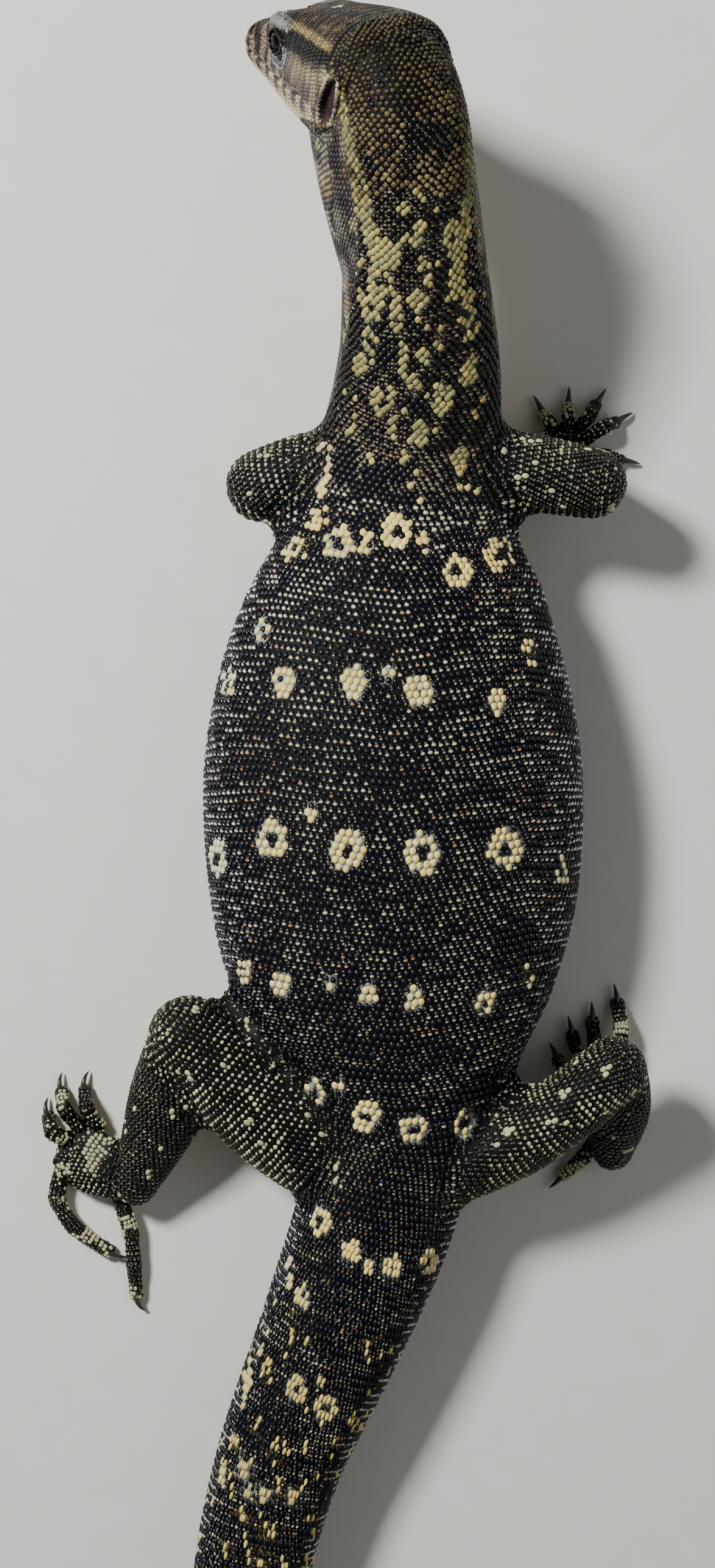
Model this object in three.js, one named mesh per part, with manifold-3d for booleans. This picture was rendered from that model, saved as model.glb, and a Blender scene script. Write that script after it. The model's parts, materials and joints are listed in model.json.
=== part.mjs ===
// A young water monitor lizard at life size, lying on its belly with its head raised
// and turned down to its left. Millimetres: +Y is ahead, +X its right side, +Z up.
// The origin is under the middle of the belly, on the ground plane z = 0.
import * as THREE from 'three';
import { mergeVertices } from 'three/addons/utils/BufferGeometryUtils.js';
import Module from 'manifold-3d';

const wasm = await Module();
wasm.setup();

// Driving dimensions
const GAP = 0.3;
const TORSO_FRONT = 69;
const TORSO_BACK = -79;
const HEAD_LENGTH = 47.5;
const DOME_START = 41;
const HEAD_SCALE = 1.077;
const HEAD_TIP = new THREE.Vector3(-25.6, 145.5, 21.1);
const HEAD_YAW = 54.5;
const HEAD_PITCH = -41.5;
const HEAD_ROLL = 41.2;
const EYE_RADIUS = 2.45;
const EYE_SIDE = 5.5;
const EYE_BACK = 17.6;
const EYE_HEIGHT = 4.7;
const LID_THICKNESS = 0.5;
const EYE_OPENING = [2.2, 1.75];
const MOUTH_LENGTH = 29;
const MOUTH_GROOVE = 0.4;
const NOSTRIL = { side: 3.5, back: 5.6, height: 3.1, radii: [0.9, 1.1, 0.7] };
const EAR = { side: 12.1, back: 38.6, height: 0.4, radii: [1.4, 1.5, 4.0] };
const CLAW_RADIUS = 0.95;
const CLAW_LENGTH = 4.4;

// Colours of the living animal
const DARK_SKIN = 0x2c2a2a;
const FLANK_SKIN = 0x34322f;
const HEAD_SKIN = 0x4a423c;
const EYE_BLACK = 0x0b0a0c;
const CLAW_HORN = 0x17130f;

function skinMaterial(color) {
  return new THREE.MeshStandardMaterial({ color, roughness: 0.45, metalness: 0 });
}

// Columns: position, half width, height above and depth below the centre line.
// The neck is read from the chest forward, in the order x, y, z, half, up, down.
const NECK_STATIONS = [
  [3.0, 50, 18.0, 23.4, 16.2, 17.2],
  [4.1, 60, 20.2, 21.2, 13.6, 16.0],
  [5.3, 70, 24.4, 17.4, 12.2, 14.2],
  [6.1, 82, 31.6, 15.4, 11.4, 12.8],
  [5.3, 94, 39.2, 13.9, 10.8, 12.0],
  [4.3, 105, 45.4, 13.0, 10.8, 11.6],
  [3.3, 114, 50.0, 12.4, 11.0, 11.2],
  [2.2, 122.0, 52.4, 11.8, 11.2, 10.6],
  [0.9, 128.4, 52.4, 10.6, 10.2, 9.6],
  [-0.8, 132.8, 50.4, 8.2, 7.8, 7.4],
  [-2.0, 135.0, 48.4, 4.2, 3.8, 3.6],
];
const NECK_ROLL = 34;

// The throat that hangs between the jaw and the neck, as a limb's points
const THROAT = [
  [-8.6, 126.5, 40.5, 7.0, 7.6],
  [-5.6, 119, 44.6, 8.8, 10.0],
  [-2, 109, 44.0, 10.2, 10.8],
  [3.4, 96, 38.6, 11.6, 10.8],
];

// The trunk from the chest back to the root of the tail
const TRUNK_STATIONS = [
  [4.1, 60, 20.2, 21.2, 13.6, 16.0],
  [3.0, 50, 18.0, 23.8, 16.4, 17.4],
  [2.5, 40, 17.2, 28.3, 18.8, 17.8],
  [1.7, 24, 17.4, 33.6, 20.4, 18.2],
  [1.4, 6, 17.4, 36.7, 21.2, 18.3],
  [1.5, -12, 17.3, 36.6, 20.9, 18.2],
  [1.5, -28, 17.0, 34.4, 19.8, 17.9],
  [2.0, -41, 16.2, 30.2, 18.6, 17.1],
  [2.4, -52, 15.2, 24.2, 17.2, 16.1],
  [2.3, -61, 14.4, 19.4, 16.0, 15.2],
  [1.2, -70, 13.6, 16.6, 15.2, 14.4],
  [-0.9, -79, 13.0, 15.8, 14.6, 13.7],
  [-4.2, -90, 12.6, 15.3, 13.8, 13.2],
];

// The tail, flatter from side to side as it goes back
const TAIL_STATIONS = [
  [1.2, -70, 13.6, 16.6, 15.2, 14.4],
  [-0.9, -79, 13.0, 15.8, 14.6, 13.7],
  [-4.2, -90, 12.6, 15.3, 13.8, 13.2],
  [-11.6, -109, 12.0, 14.0, 12.8, 12.6],
  [-20.6, -131, 11.2, 12.4, 11.9, 11.7],
  [-26.2, -153, 10.4, 11.4, 11.0, 10.9],
  [-28.6, -177, 9.5, 10.0, 10.2, 9.9],
  [-26.6, -203, 8.4, 8.4, 9.4, 8.8],
  [-18.0, -230, 7.3, 7.0, 8.4, 7.6],
  [-5.5, -255, 6.3, 5.8, 7.4, 6.6],
  [8.0, -280, 5.4, 4.8, 6.4, 5.7],
  [16.6, -307, 4.5, 3.9, 5.4, 4.8],
  [18.6, -335, 3.7, 3.1, 4.4, 4.0],
  [13.4, -362, 2.9, 2.4, 3.4, 3.1],
  [2.4, -387, 2.2, 1.8, 2.6, 2.4],
  [-11.8, -410, 1.6, 1.3, 1.8, 1.7],
  [-24.6, -433, 1.1, 0.9, 1.2, 1.2],
  [-34.0, -455, 0.7, 0.5, 0.6, 0.7],
];
const TAIL_CUTS = [-176, -254, -334];
const TAIL_CREST = [0, 0.5, 0.9, 0.5];

// The head by distance back from the snout: half width, crown height, chin height
const HEAD_STATIONS = [
  [0.9, 1.5, 1.4, -1.4],
  [1.7, 2.7, 2.7, -2.4],
  [3.4, 3.9, 3.9, -3.4],
  [6, 4.8, 5.0, -4.4],
  [9, 5.5, 5.8, -5.2],
  [12.5, 6.5, 7.2, -6.0],
  [16, 7.8, 8.9, -6.9],
  [20, 9.1, 10.1, -7.9],
  [25, 10.6, 11.0, -9.0],
  [30.5, 11.9, 11.7, -9.8],
  [36, 12.7, 12.1, -10.0],
  [41, 12.0, 12.1, -9.8],
  [47.5, 10.6, 11.6, -9.2],
];

// Limbs: points along each bone with its half thickness across and upright
const LIMBS = {
  upper_arm_left: [[-5, 62.6, 20.5, 8.4, 8.6], [-15, 61.6, 20, 7.8, 8.0], [-24.0, 59.2, 18.4, 7.2, 7.2]],
  forearm_left: [[-23.6, 59.6, 16.4, 6.0, 6.0], [-14.5, 66, 10.6, 4.9, 4.9], [-5, 72.4, 5.4, 3.4, 3.2]],
  upper_arm_right: [[14, 62.5, 20.5, 8.4, 8.6], [27, 61.4, 21.4, 7.7, 7.8], [39.6, 59.2, 22.2, 6.9, 7.0]],
  forearm_right: [[39.4, 60.2, 20, 6.4, 6.2], [34.6, 64, 12.8, 5.0, 5.0], [30, 67, 5.8, 3.5, 3.4]],
  thigh_left: [[-5, -72, 15.5, 12.4, 9.4], [-21.8, -61.6, 17.6, 11.6, 9.4], [-38.0, -47.4, 20.6, 8.2, 7.8]],
  shank_left: [[-38.4, -47.4, 19.2, 7.4, 7.0], [-42.8, -61.6, 13.6, 8.0, 6.8], [-49.6, -78.2, 6.4, 4.5, 4.5]],
  thigh_right: [[8, -74.5, 15.5, 8.2, 9.4], [26.2, -67.2, 19.5, 7.2, 8.6], [43.2, -54, 24.4, 6.6, 7.4]],
  shank_right: [[43.8, -53.6, 22.6, 6.4, 6.8], [45.6, -62, 15, 6.2, 6.6], [45.2, -71.4, 6.6, 4.2, 4.4]],
};

// Feet: the palm's points with half breadth and half height, then each toe's points,
// innermost toe first. The last number is the toe's half breadth at its root.
const FEET = {
  hand_left: {
    palm: [[-4.6, 72.4, 5, 3.2, 3.0], [-2.6, 77, 3.5, 5.0, 2.8], [-1, 81, 2.7, 5.2, 2.3]],
    toes: [
      [[2.4, 78.4, 2.4], [5.8, 81, 3.8], [8.2, 84, 1.2], 1.7],
      [[0.8, 80.4, 2.5], [4, 85.8, 4.2], [6.2, 90.8, 1.2], 1.7],
      [[-1, 81.2, 2.6], [0, 87.6, 4.4], [0.6, 93.6, 1.2], 1.75],
      [[-2.8, 80.6, 2.5], [-3.6, 86.4, 4.4], [-4, 92, 1.2], 1.75],
      [[-4, 78.6, 2.4], [-5.8, 82, 3.8], [-6.8, 85.6, 1.2], 1.65],
    ],
  },
  hand_right: {
    palm: [[29.8, 66.8, 5.2, 3.3, 3.1], [33.6, 68.2, 3.6, 4.9, 2.8], [37.4, 69, 2.7, 5.2, 2.3]],
    toes: [
      [[34.2, 71.8, 2.4], [32.8, 74, 4.2], [31.8, 76, 1.2], 1.7],
      [[36.2, 72.6, 2.5], [36.6, 75, 4.8], [36.8, 77.4, 1.2], 1.7],
      [[38.2, 72.0, 2.6], [40.8, 75, 5.2], [42.4, 77.6, 1.2], 1.75],
      [[39.8, 70.2, 2.5], [43.6, 72.6, 5.2], [46.4, 74.2, 1.2], 1.75],
      [[39.4, 67.4, 2.4], [44, 67.2, 4.2], [47.4, 66.6, 1.2], 1.65],
    ],
  },
  foot_left: {
    palm: [[-50, -78.6, 5.2, 4.2, 3.6], [-56.4, -75.4, 4.0, 6.4, 3.2], [-61.6, -72.6, 2.9, 6.8, 2.5]],
    toes: [
      [[-57.8, -67.2, 2.7], [-59.6, -63.4, 4.8], [-60.4, -60.4, 1.3], 1.9],
      [[-61, -67.6, 2.8], [-63.8, -63.8, 5.4], [-65, -60.8, 1.3], 1.95],
      [[-63, -70, 2.9], [-66.2, -68.2, 5.6], [-67.6, -65.8, 1.3], 2.0],
      [[-64, -75.4, 2.8], [-65.8, -81.4, 2.4], [-62.4, -87.6, 2.4], [-55.6, -92.6, 1.4], 2.05],
      [[-54, -79.6, 3.2], [-51.2, -87.6, 3.0], [-50.4, -95, 2.6], [-50, -101.4, 1.4], 1.95],
    ],
  },
  foot_right: {
    palm: [[45.2, -71.6, 5.4, 4.0, 3.6], [44.2, -65.4, 4.0, 5.6, 3.2], [43, -59.6, 2.9, 6.2, 2.5]],
    toes: [
      [[38.8, -61, 2.7], [36.6, -57.6, 4.4], [35, -54.4, 1.3], 1.9],
      [[40.6, -58.8, 2.8], [38.8, -53.8, 5.2], [37.8, -49.4, 1.3], 1.95],
      [[42.8, -58, 2.9], [42, -52, 5.6], [41.8, -46.6, 1.3], 2.0],
      [[45.4, -58.6, 2.8], [46.6, -52, 5.4], [47.2, -47.6, 4.6], [46.8, -43, 1.4], 2.05],
      [[42.6, -69.6, 3.2], [39.4, -73.8, 3.8], [36, -77.2, 1.3], 1.95],
    ],
  },
};

// Turn of each claw's tip about the upright axis, in degrees, inner toe first
const CLAW_TURNS = {
  hand_left: [0, 0, 0, 0, 0],
  hand_right: [0, 0, 0, 0, 0],
  foot_left: [-60, -50, -60, 40, 62],
  foot_right: [0, 0, 0, 10, 0],
};

const TORSO_SIDES = 32;
const NECK_SIDES = 24;
const TAIL_SIDES = 16;
const TORSO_RINGS = 22;
const NECK_RINGS = 16;
const TAIL_RINGS = 14;

const v3 = (x, y, z) => new THREE.Vector3(x, y, z);
const radians = THREE.MathUtils.degToRad;
const clamp = THREE.MathUtils.clamp;

// A smooth curve through rows of numbers, read at u from 0 to the last row's index
function blendRows(rows, u) {
  const last = rows.length - 1;
  const i = clamp(Math.floor(u), 0, last - 1);
  const t = clamp(u - i, 0, 1);
  const [a, b, c, d] = [i - 1, i, i + 1, i + 2].map((k) => rows[clamp(k, 0, last)]);
  return b.map((value, k) => {
    const slopeIn = (c[k] - a[k]) / 2;
    const slopeOut = (d[k] - value) / 2;
    const rise = c[k] - value;
    const cubic = slopeIn + slopeOut - 2 * rise;
    const square = 3 * rise - 2 * slopeIn - slopeOut;
    return value + t * (slopeIn + t * (square + t * cubic));
  });
}

// The index at which a table's column passes a value, by halving
function indexWhere(rows, column, value) {
  let [low, high] = [0, rows.length - 1];
  const rising = rows[high][column] > rows[low][column];
  for (let step = 0; step < 40; step++) {
    const middle = (low + high) / 2;
    if (blendRows(rows, middle)[column] < value === rising) low = middle;
    else high = middle;
  }
  return (low + high) / 2;
}

// A closed skin over rings of equal count, with a fan at each end
function loftRings(rings) {
  const count = rings[0].length;
  const points = rings.flat();
  const middle = (ring) => ring.reduce((sum, p) => sum.add(p), v3(0, 0, 0)).divideScalar(count);
  const start = points.push(middle(rings[0])) - 1;
  const end = points.push(middle(rings[rings.length - 1])) - 1;
  const index = [];
  for (let j = 0; j < count; j++) {
    const next = (j + 1) % count;
    for (let i = 0; i < rings.length - 1; i++) {
      const [a, b] = [i * count + j, i * count + next];
      const [c, d] = [a + count, b + count];
      index.push(a, c, b, b, c, d);
    }
    const lastRow = (rings.length - 1) * count;
    index.push(start, j, next, end, lastRow + next, lastRow + j);
  }
  return outwardGeometry(points, index);
}

// Vertices and triangles as a geometry whose faces point out
function outwardGeometry(points, index) {
  let volume = 0;
  for (let k = 0; k < index.length; k += 3) {
    const [a, b, c] = [points[index[k]], points[index[k + 1]], points[index[k + 2]]];
    volume += a.dot(b.clone().cross(c));
  }
  const geometry = new THREE.BufferGeometry();
  const flat = points.flatMap((p) => [p.x, p.y, p.z]);
  geometry.setAttribute('position', new THREE.Float32BufferAttribute(flat, 3));
  geometry.setIndex(volume < 0 ? index.slice().reverse() : index);
  return geometry;
}

function toSolid(geometry) {
  const bare = geometry.clone();
  for (const name of ['normal', 'uv']) bare.deleteAttribute(name);
  const merged = mergeVertices(bare, 1e-4);
  return new wasm.Manifold(new wasm.Mesh({
    numProp: 3,
    vertProperties: new Float32Array(merged.attributes.position.array),
    triVerts: new Uint32Array(merged.index.array),
  }));
}

// The largest closed surface of a solid, as a geometry
function toGeometry(solid) {
  const parts = solid.decompose();
  const largest = parts.reduce((best, part) => (part.volume() > best.volume() ? part : best));
  const mesh = largest.getMesh();
  const geometry = new THREE.BufferGeometry();
  const positions = new THREE.Float32BufferAttribute(Array.from(mesh.vertProperties), 3);
  geometry.setAttribute('position', positions);
  geometry.setIndex(Array.from(mesh.triVerts));
  return geometry;
}

function ellipsoid(center, radii, around = 16, down = 10) {
  const geometry = new THREE.SphereGeometry(1, around, down);
  geometry.scale(...radii);
  geometry.translate(center.x, center.y, center.z);
  return geometry;
}

// One cross-section: a rounded box whose sides bulge, flattened where it meets the ground
function sectionRing(center, side, upright, half, up, down, sides, shape) {
  const ring = [];
  for (let j = 0; j < sides; j++) {
    const angle = (2 * Math.PI * j) / sides;
    const [c, s] = [Math.cos(angle), Math.sin(angle)];
    const power = 2 / (s >= 0 ? shape.top : shape.bottom);
    const across = half * Math.sign(c) * Math.abs(c) ** power;
    const rise = (s >= 0 ? up : down) * Math.sign(s) * Math.abs(s) ** power;
    const keel = shape.keel * Math.exp(-((across / 1.1) ** 2)) * (s > 0.5 ? 1 : 0);
    const point = center.clone().addScaledVector(side, across);
    point.addScaledVector(upright, rise + keel);
    if (shape.grounded) point.z = Math.max(point.z, 0);
    ring.push(point);
  }
  return ring;
}

// A length of the body between two indexes of a station table. roll turns the far end.
function bodyLength(rows, from, to, ringCount, sides, options = {}) {
  const { grow = 0, roll = 0, shape = {} } = options;
  const form = { top: 2.15, bottom: 2.4, keel: 0, grounded: true, ...shape };
  const rings = [];
  for (let i = 0; i < ringCount; i++) {
    const share = i / (ringCount - 1);
    const u = from + (to - from) * share;
    const [x, y, z, half, up, down] = blendRows(rows, u);
    const ahead = v3(...blendRows(rows, u + 0.02).slice(0, 3));
    const behind = v3(...blendRows(rows, u - 0.02).slice(0, 3));
    const along = ahead.sub(behind).normalize();
    const side = along.clone().cross(v3(0, 0, 1)).normalize();
    if (along.y < 0) side.negate();
    side.applyAxisAngle(along, radians(roll) * share ** 2);
    const upright = side.clone().cross(along).normalize();
    if (upright.z < 0) upright.negate();
    const size = [half + grow, up + grow, down + grow];
    rings.push(sectionRing(v3(x, y, z), side, upright, ...size, sides, form));
  }
  return loftRings(rings);
}

// A limb through its points, round at both ends. domes are the end rings' shares of the
// full thickness, from the tip in.
function limb(points, sides, grow = 0, options = {}) {
  const { stepsEach = 3, domes = [0.35, 0.72, 0.94] } = options;
  const steps = stepsEach * (points.length - 1);
  const hint = v3(0, 0, 1);
  const at = (u) => blendRows(points, u);
  const rings = [];
  const addRing = (u, offset, scale) => {
    const [x, y, z, across, tall] = at(u);
    const before = v3(...at(Math.max(u - 0.05, 0)).slice(0, 3));
    const after = v3(...at(Math.min(u + 0.05, points.length - 1)).slice(0, 3));
    const along = after.sub(before).normalize();
    const side = along.clone().cross(hint).normalize();
    const upright = side.clone().cross(along).normalize();
    const center = v3(x, y, z).addScaledVector(along, offset * (across + tall + 2 * grow) / 2);
    const ring = [];
    for (let j = 0; j < sides; j++) {
      const angle = (2 * Math.PI * (j + 0.5)) / sides;
      const point = center.clone();
      point.addScaledVector(side, Math.cos(angle) * (across + grow) * scale);
      point.addScaledVector(upright, Math.sin(angle) * (tall + grow) * scale);
      point.z = Math.max(point.z, 0);
      ring.push(point);
    }
    rings.push(ring);
  };
  domes.forEach((scale) => addRing(0, -Math.sqrt(1 - scale * scale), scale));
  for (let i = 0; i <= steps; i++) addRing((i / steps) * (points.length - 1), 0, 1);
  domes.slice().reverse().forEach((scale) => {
    addRing(points.length - 1, Math.sqrt(1 - scale * scale), scale);
  });
  return loftRings(rings);
}

// A toe: its points joined by a curve, thinner to the tip, with a swelling at each joint
function toe(spec, grow = 0) {
  const root = spec[spec.length - 1];
  const points = spec.slice(0, -1);
  const count = points.length * 2 - 1;
  const rows = [];
  for (let i = 0; i < count; i++) {
    const share = i / (count - 1);
    const [x, y, z] = blendRows(points, share * (points.length - 1));
    const half = root * (1 - 0.26 * share) * (i % 2 ? 0.93 : 1.04);
    rows.push([x, y, z, half, half * 0.95]);
  }
  return limb(rows, 7, grow, { stepsEach: 1, domes: [0.6] });
}

// The middle line, lip line and outline of the head in its own frame: +Y ahead, tip at zero
const mouthHeight = (t) => -0.075 * t + 0.0012 * t * t;

function headStation(t) {
  const rows = HEAD_STATIONS;
  const [, half, crown, chin] = blendRows(rows, indexWhere(rows, 0, t));
  const past = clamp((t - DOME_START) / (HEAD_LENGTH + 0.4 - DOME_START), 0, 1);
  const close = Math.sqrt(1 - past * past);
  return { half: half * close, crown: crown * close, chin: chin * close };
}

// A point on the right half of the head: level runs from 1 at the crown through 0 at
// the widest line to -1 at the chin
function headPoint(t, level) {
  const { half, crown, chin } = headStation(t);
  const widest = mouthHeight(t) - 0.6;
  const angle = (Math.abs(level) * Math.PI) / 2;
  const [boxTop, boxBottom] = [2.7, 2.45];
  const power = 2 / (level > 0 ? boxTop : boxBottom);
  const x = half * Math.cos(angle) ** power;
  const reach = level > 0 ? crown - widest : widest - chin;
  const z = widest + Math.sign(level) * reach * Math.sin(angle) ** power;
  return v3(x, -t, z);
}

// Raised brow over each eye, hollow before it and the swell of the jaw muscle
function headRelief(point) {
  const t = -point.y;
  const across = Math.abs(point.x);
  const onTop = clamp(point.z / 4, 0, 1);
  const brow = 1.2 * Math.exp(-(((t - 18) / 5) ** 2) - ((across - 6.4) / 1.9) ** 2) * onTop;
  const midline = -0.5 * Math.exp(-(((t - 17) / 9) ** 2) - (across / 2.2) ** 2) * onTop;
  point.z += brow + midline;
  const cheek = 0.7 * Math.exp(-(((t - 33) / 5) ** 2) - ((point.z + 4) / 4) ** 2);
  const temple = -0.5 * Math.exp(-(((t - 27) / 6) ** 2) - ((point.z - 4) / 3) ** 2);
  point.x += Math.sign(point.x) * (cheek + temple);
  return point;
}

function headShell(grow = 0) {
  const upper = [1, 0.87, 0.74, 0.62, 0.51, 0.4, 0.29, 0.19];
  const lower = [-0.16, -0.36, -0.57, -0.78, -1];
  const rings = [];
  const backs = [1, 1.7, 2.8, 4.4, 6.2, 8.4, 10.8, 13.2, 15.4, 17.6, 19.8, 22.2, 24.8,
    27.4, 30, 33, 36, 38.6, 41, 43.2, 45, 46.3, 47.2, 47.7];
  for (const t of backs) {
    const lips = clamp((MOUTH_LENGTH - t) / 2, 0, 1) * MOUTH_GROOVE;
    const half = upper.map((level) => headPoint(t, level));
    const lipLine = headPoint(t, 0.1);
    const groove = headPoint(t, 0.03);
    const jawLine = headPoint(t, -0.04);
    groove.x = Math.max(groove.x - lips, groove.x * 0.5);
    half.push(lipLine, groove, jawLine, ...lower.map((level) => headPoint(t, level)));
    half.forEach(headRelief);
    const mirrored = half.slice(1, -1).reverse().map((p) => v3(-p.x, p.y, p.z));
    rings.push([...half, ...mirrored]);
  }
  if (grow) growRings(rings, grow);
  return loftRings(rings);
}

// Moves every ring out from its own middle, and the end rings along the axis too
function growRings(rings, grow) {
  rings.forEach((ring, i) => {
    const middle = ring.reduce((sum, p) => sum.add(p), v3(0, 0, 0)).divideScalar(ring.length);
    for (const p of ring) {
      const out = p.clone().sub(middle);
      p.addScaledVector(out.normalize(), grow);
      if (i < 2) p.y += grow;
      if (i > rings.length - 4) p.y -= grow;
    }
  });
}

function eyeCenter(sign) {
  return v3(sign * EYE_SIDE, -EYE_BACK, EYE_HEIGHT);
}

// The head with lids round each eye, nostrils and ear openings, in its own frame
function headSolid() {
  let solid = toSolid(headShell());
  for (const sign of [-1, 1]) {
    const eye = eyeCenter(sign);
    const lidRadius = EYE_RADIUS + GAP + LID_THICKNESS;
    const socketRadius = EYE_RADIUS + GAP;
    const [openLength, openHeight] = EYE_OPENING;
    const window = eye.clone().add(v3(sign * 3, 0, 0));
    const lids = toSolid(ellipsoid(eye, [lidRadius, lidRadius, lidRadius], 14, 10));
    const socket = toSolid(ellipsoid(eye, [socketRadius, socketRadius, socketRadius], 14, 10));
    const opening = toSolid(ellipsoid(window, [4, openLength, openHeight], 12, 8));
    solid = solid.add(lids).subtract(socket).subtract(opening);
    const nostril = v3(sign * NOSTRIL.side, -NOSTRIL.back, NOSTRIL.height);
    solid = solid.subtract(toSolid(ellipsoid(nostril, NOSTRIL.radii, 8, 5)));
    const ear = ellipsoid(v3(0, 0, 0), EAR.radii, 10, 6);
    ear.rotateX(radians(-14));
    ear.translate(sign * EAR.side, -EAR.back, EAR.height);
    solid = solid.subtract(toSolid(ear));
  }
  return solid;
}

const headTurn = new THREE.Matrix4().compose(
  HEAD_TIP,
  new THREE.Quaternion().setFromEuler(
    new THREE.Euler(radians(HEAD_PITCH), radians(HEAD_ROLL), radians(HEAD_YAW), 'ZXY'),
  ),
  v3(HEAD_SCALE, HEAD_SCALE, HEAD_SCALE),
);

const group = new THREE.Group();

function addPiece(name, geometry, material) {
  geometry.computeVertexNormals();
  const mesh = new THREE.Mesh(geometry, material);
  mesh.name = name;
  group.add(mesh);
  return mesh;
}

// Head and eyes stand in the head's own frame, turned together
const headFrame = new THREE.Group();
headFrame.applyMatrix4(headTurn);
group.add(headFrame);

function addHead() {
  const head = addPiece('head', toGeometry(headSolid()), skinMaterial(HEAD_SKIN));
  headFrame.add(head);
  const glossy = new THREE.MeshStandardMaterial({ color: EYE_BLACK, roughness: 0.08 });
  for (const [name, sign] of [['eye_left', -1], ['eye_right', 1]]) {
    const ball = new THREE.SphereGeometry(EYE_RADIUS, 16, 10);
    ball.rotateZ(Math.PI / 2);
    for (const attribute of ['normal', 'uv']) ball.deleteAttribute(attribute);
    const eye = addPiece(name, mergeVertices(ball, 1e-4), glossy);
    eye.position.copy(eyeCenter(sign));
    headFrame.add(eye);
  }
}

const tailLast = TAIL_STATIONS.length - 1;
const tailCuts = [TORSO_BACK, ...TAIL_CUTS];

// The torso starts in the neck's own rows and goes on in the trunk's
function torsoGeometry(grow = 0) {
  const rows = [...NECK_STATIONS.slice(0, 4).reverse(), ...TRUNK_STATIONS.slice(2)];
  const start = indexWhere(rows, 1, TORSO_FRONT + grow);
  const end = indexWhere(rows, 1, TORSO_BACK - grow);
  return bodyLength(rows, start, end, TORSO_RINGS, TORSO_SIDES, { grow });
}

function neckGeometry(grow = 0) {
  const start = indexWhere(NECK_STATIONS, 1, TORSO_FRONT + GAP * 1.25);
  const end = NECK_STATIONS.length - 1;
  return bodyLength(NECK_STATIONS, start, end, NECK_RINGS, NECK_SIDES, { grow, roll: NECK_ROLL });
}

// One of the tail's four lengths, with a low crest along its back
function tailGeometry(i, grow = 0) {
  const start = indexWhere(TAIL_STATIONS, 1, tailCuts[i] - GAP);
  const isLast = i + 1 === tailCuts.length;
  const end = isLast ? tailLast : indexWhere(TAIL_STATIONS, 1, tailCuts[i + 1]);
  const shape = { top: 2.0, bottom: 2.3, keel: TAIL_CREST[i] };
  return bodyLength(TAIL_STATIONS, start, end, TAIL_RINGS, TAIL_SIDES, { grow, shape });
}

function addTrunk() {
  const dark = skinMaterial(DARK_SKIN);
  addPiece('torso', torsoGeometry(), dark);
  const room = headShell(GAP).applyMatrix4(headTurn);
  const neck = toSolid(neckGeometry()).add(toSolid(limb(THROAT, 14)));
  addPiece('neck', toGeometry(neck.subtract(toSolid(room))), dark);
  tailCuts.forEach((cut, i) => addPiece(`tail_${i + 1}`, tailGeometry(i), dark));
}

// Each limb is cut clear of what it grows from, so the two meet face to face
function addLimbs() {
  const trunkRooms = [torsoGeometry(GAP), neckGeometry(GAP), tailGeometry(0, GAP)];
  const body = trunkRooms.map(toSolid).reduce((whole, room) => whole.add(room));
  for (const side of ['left', 'right']) {
    const chains = [['upper_arm', 'forearm', 'hand'], ['thigh', 'shank', 'foot']];
    for (const [upper, lower, foot] of chains) {
      const upperName = `${upper}_${side}`;
      const lowerName = `${lower}_${side}`;
      const upperSolid = toSolid(limb(LIMBS[upperName], 14)).subtract(body);
      const upperRoom = toSolid(limb(LIMBS[upperName], 14, GAP));
      const lowerSolid = toSolid(limb(LIMBS[lowerName], 12)).subtract(upperRoom).subtract(body);
      const lowerRoom = toSolid(limb(LIMBS[lowerName], 12, GAP));
      const flank = skinMaterial(FLANK_SKIN);
      addPiece(upperName, toGeometry(upperSolid), flank);
      addPiece(lowerName, toGeometry(lowerSolid), flank);
      addFoot(`${foot}_${side}`, lowerRoom.add(upperRoom).add(body), flank);
    }
  }
}

// A palm fused with its five toes, and a claw on each toe
function addFoot(name, room, material) {
  const { palm, toes } = FEET[name];
  let solid = toSolid(limb(palm, 10));
  let toeRoom = toSolid(limb(palm, 10, GAP));
  for (const spec of toes) {
    solid = solid.add(toSolid(toe(spec)));
    toeRoom = toeRoom.add(toSolid(toe(spec, GAP)));
  }
  addPiece(name, toGeometry(solid.subtract(room)), material);
  toes.forEach((spec, i) => {
    const claw = toSolid(clawGeometry(spec, CLAW_TURNS[name][i])).subtract(toeRoom);
    const horn = new THREE.MeshStandardMaterial({ color: CLAW_HORN, roughness: 0.3 });
    addPiece(`claw_${name}_${i + 1}`, toGeometry(claw), horn);
  });
}

// A claw arches out of its toe's tip and comes down to the ground, its tip turned aside
function clawGeometry(spec, turn) {
  const tip = v3(...spec[spec.length - 2]);
  const before = v3(...spec[spec.length - 3]);
  const ahead = tip.clone().sub(before).setZ(0).normalize();
  const rings = [];
  const steps = 4;
  let center = tip.clone().addScaledVector(ahead, 0.2).setZ(tip.z + 0.25);
  for (let i = 0; i <= steps; i++) {
    const share = i / steps;
    const heading = ahead.clone().applyAxisAngle(v3(0, 0, 1), radians(turn) * share);
    const pitch = radians(26 - 78 * share);
    const along = heading.clone().multiplyScalar(Math.cos(pitch)).setZ(Math.sin(pitch));
    const side = along.clone().cross(v3(0, 0, 1)).normalize();
    const upright = side.clone().cross(along);
    const radius = CLAW_RADIUS * (1 - share) ** 0.8 + 0.12;
    const ring = [];
    for (let j = 0; j < 5; j++) {
      const angle = (2 * Math.PI * j) / 5;
      const point = center.clone().addScaledVector(side, Math.cos(angle) * radius * 0.75);
      point.addScaledVector(upright, Math.sin(angle) * radius);
      point.z = Math.max(point.z, 0.05);
      ring.push(point);
    }
    rings.push(ring);
    center = center.clone().addScaledVector(along, CLAW_LENGTH / steps);
  }
  return loftRings(rings);
}

addHead();
addTrunk();
addLimbs();

export default group;
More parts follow.
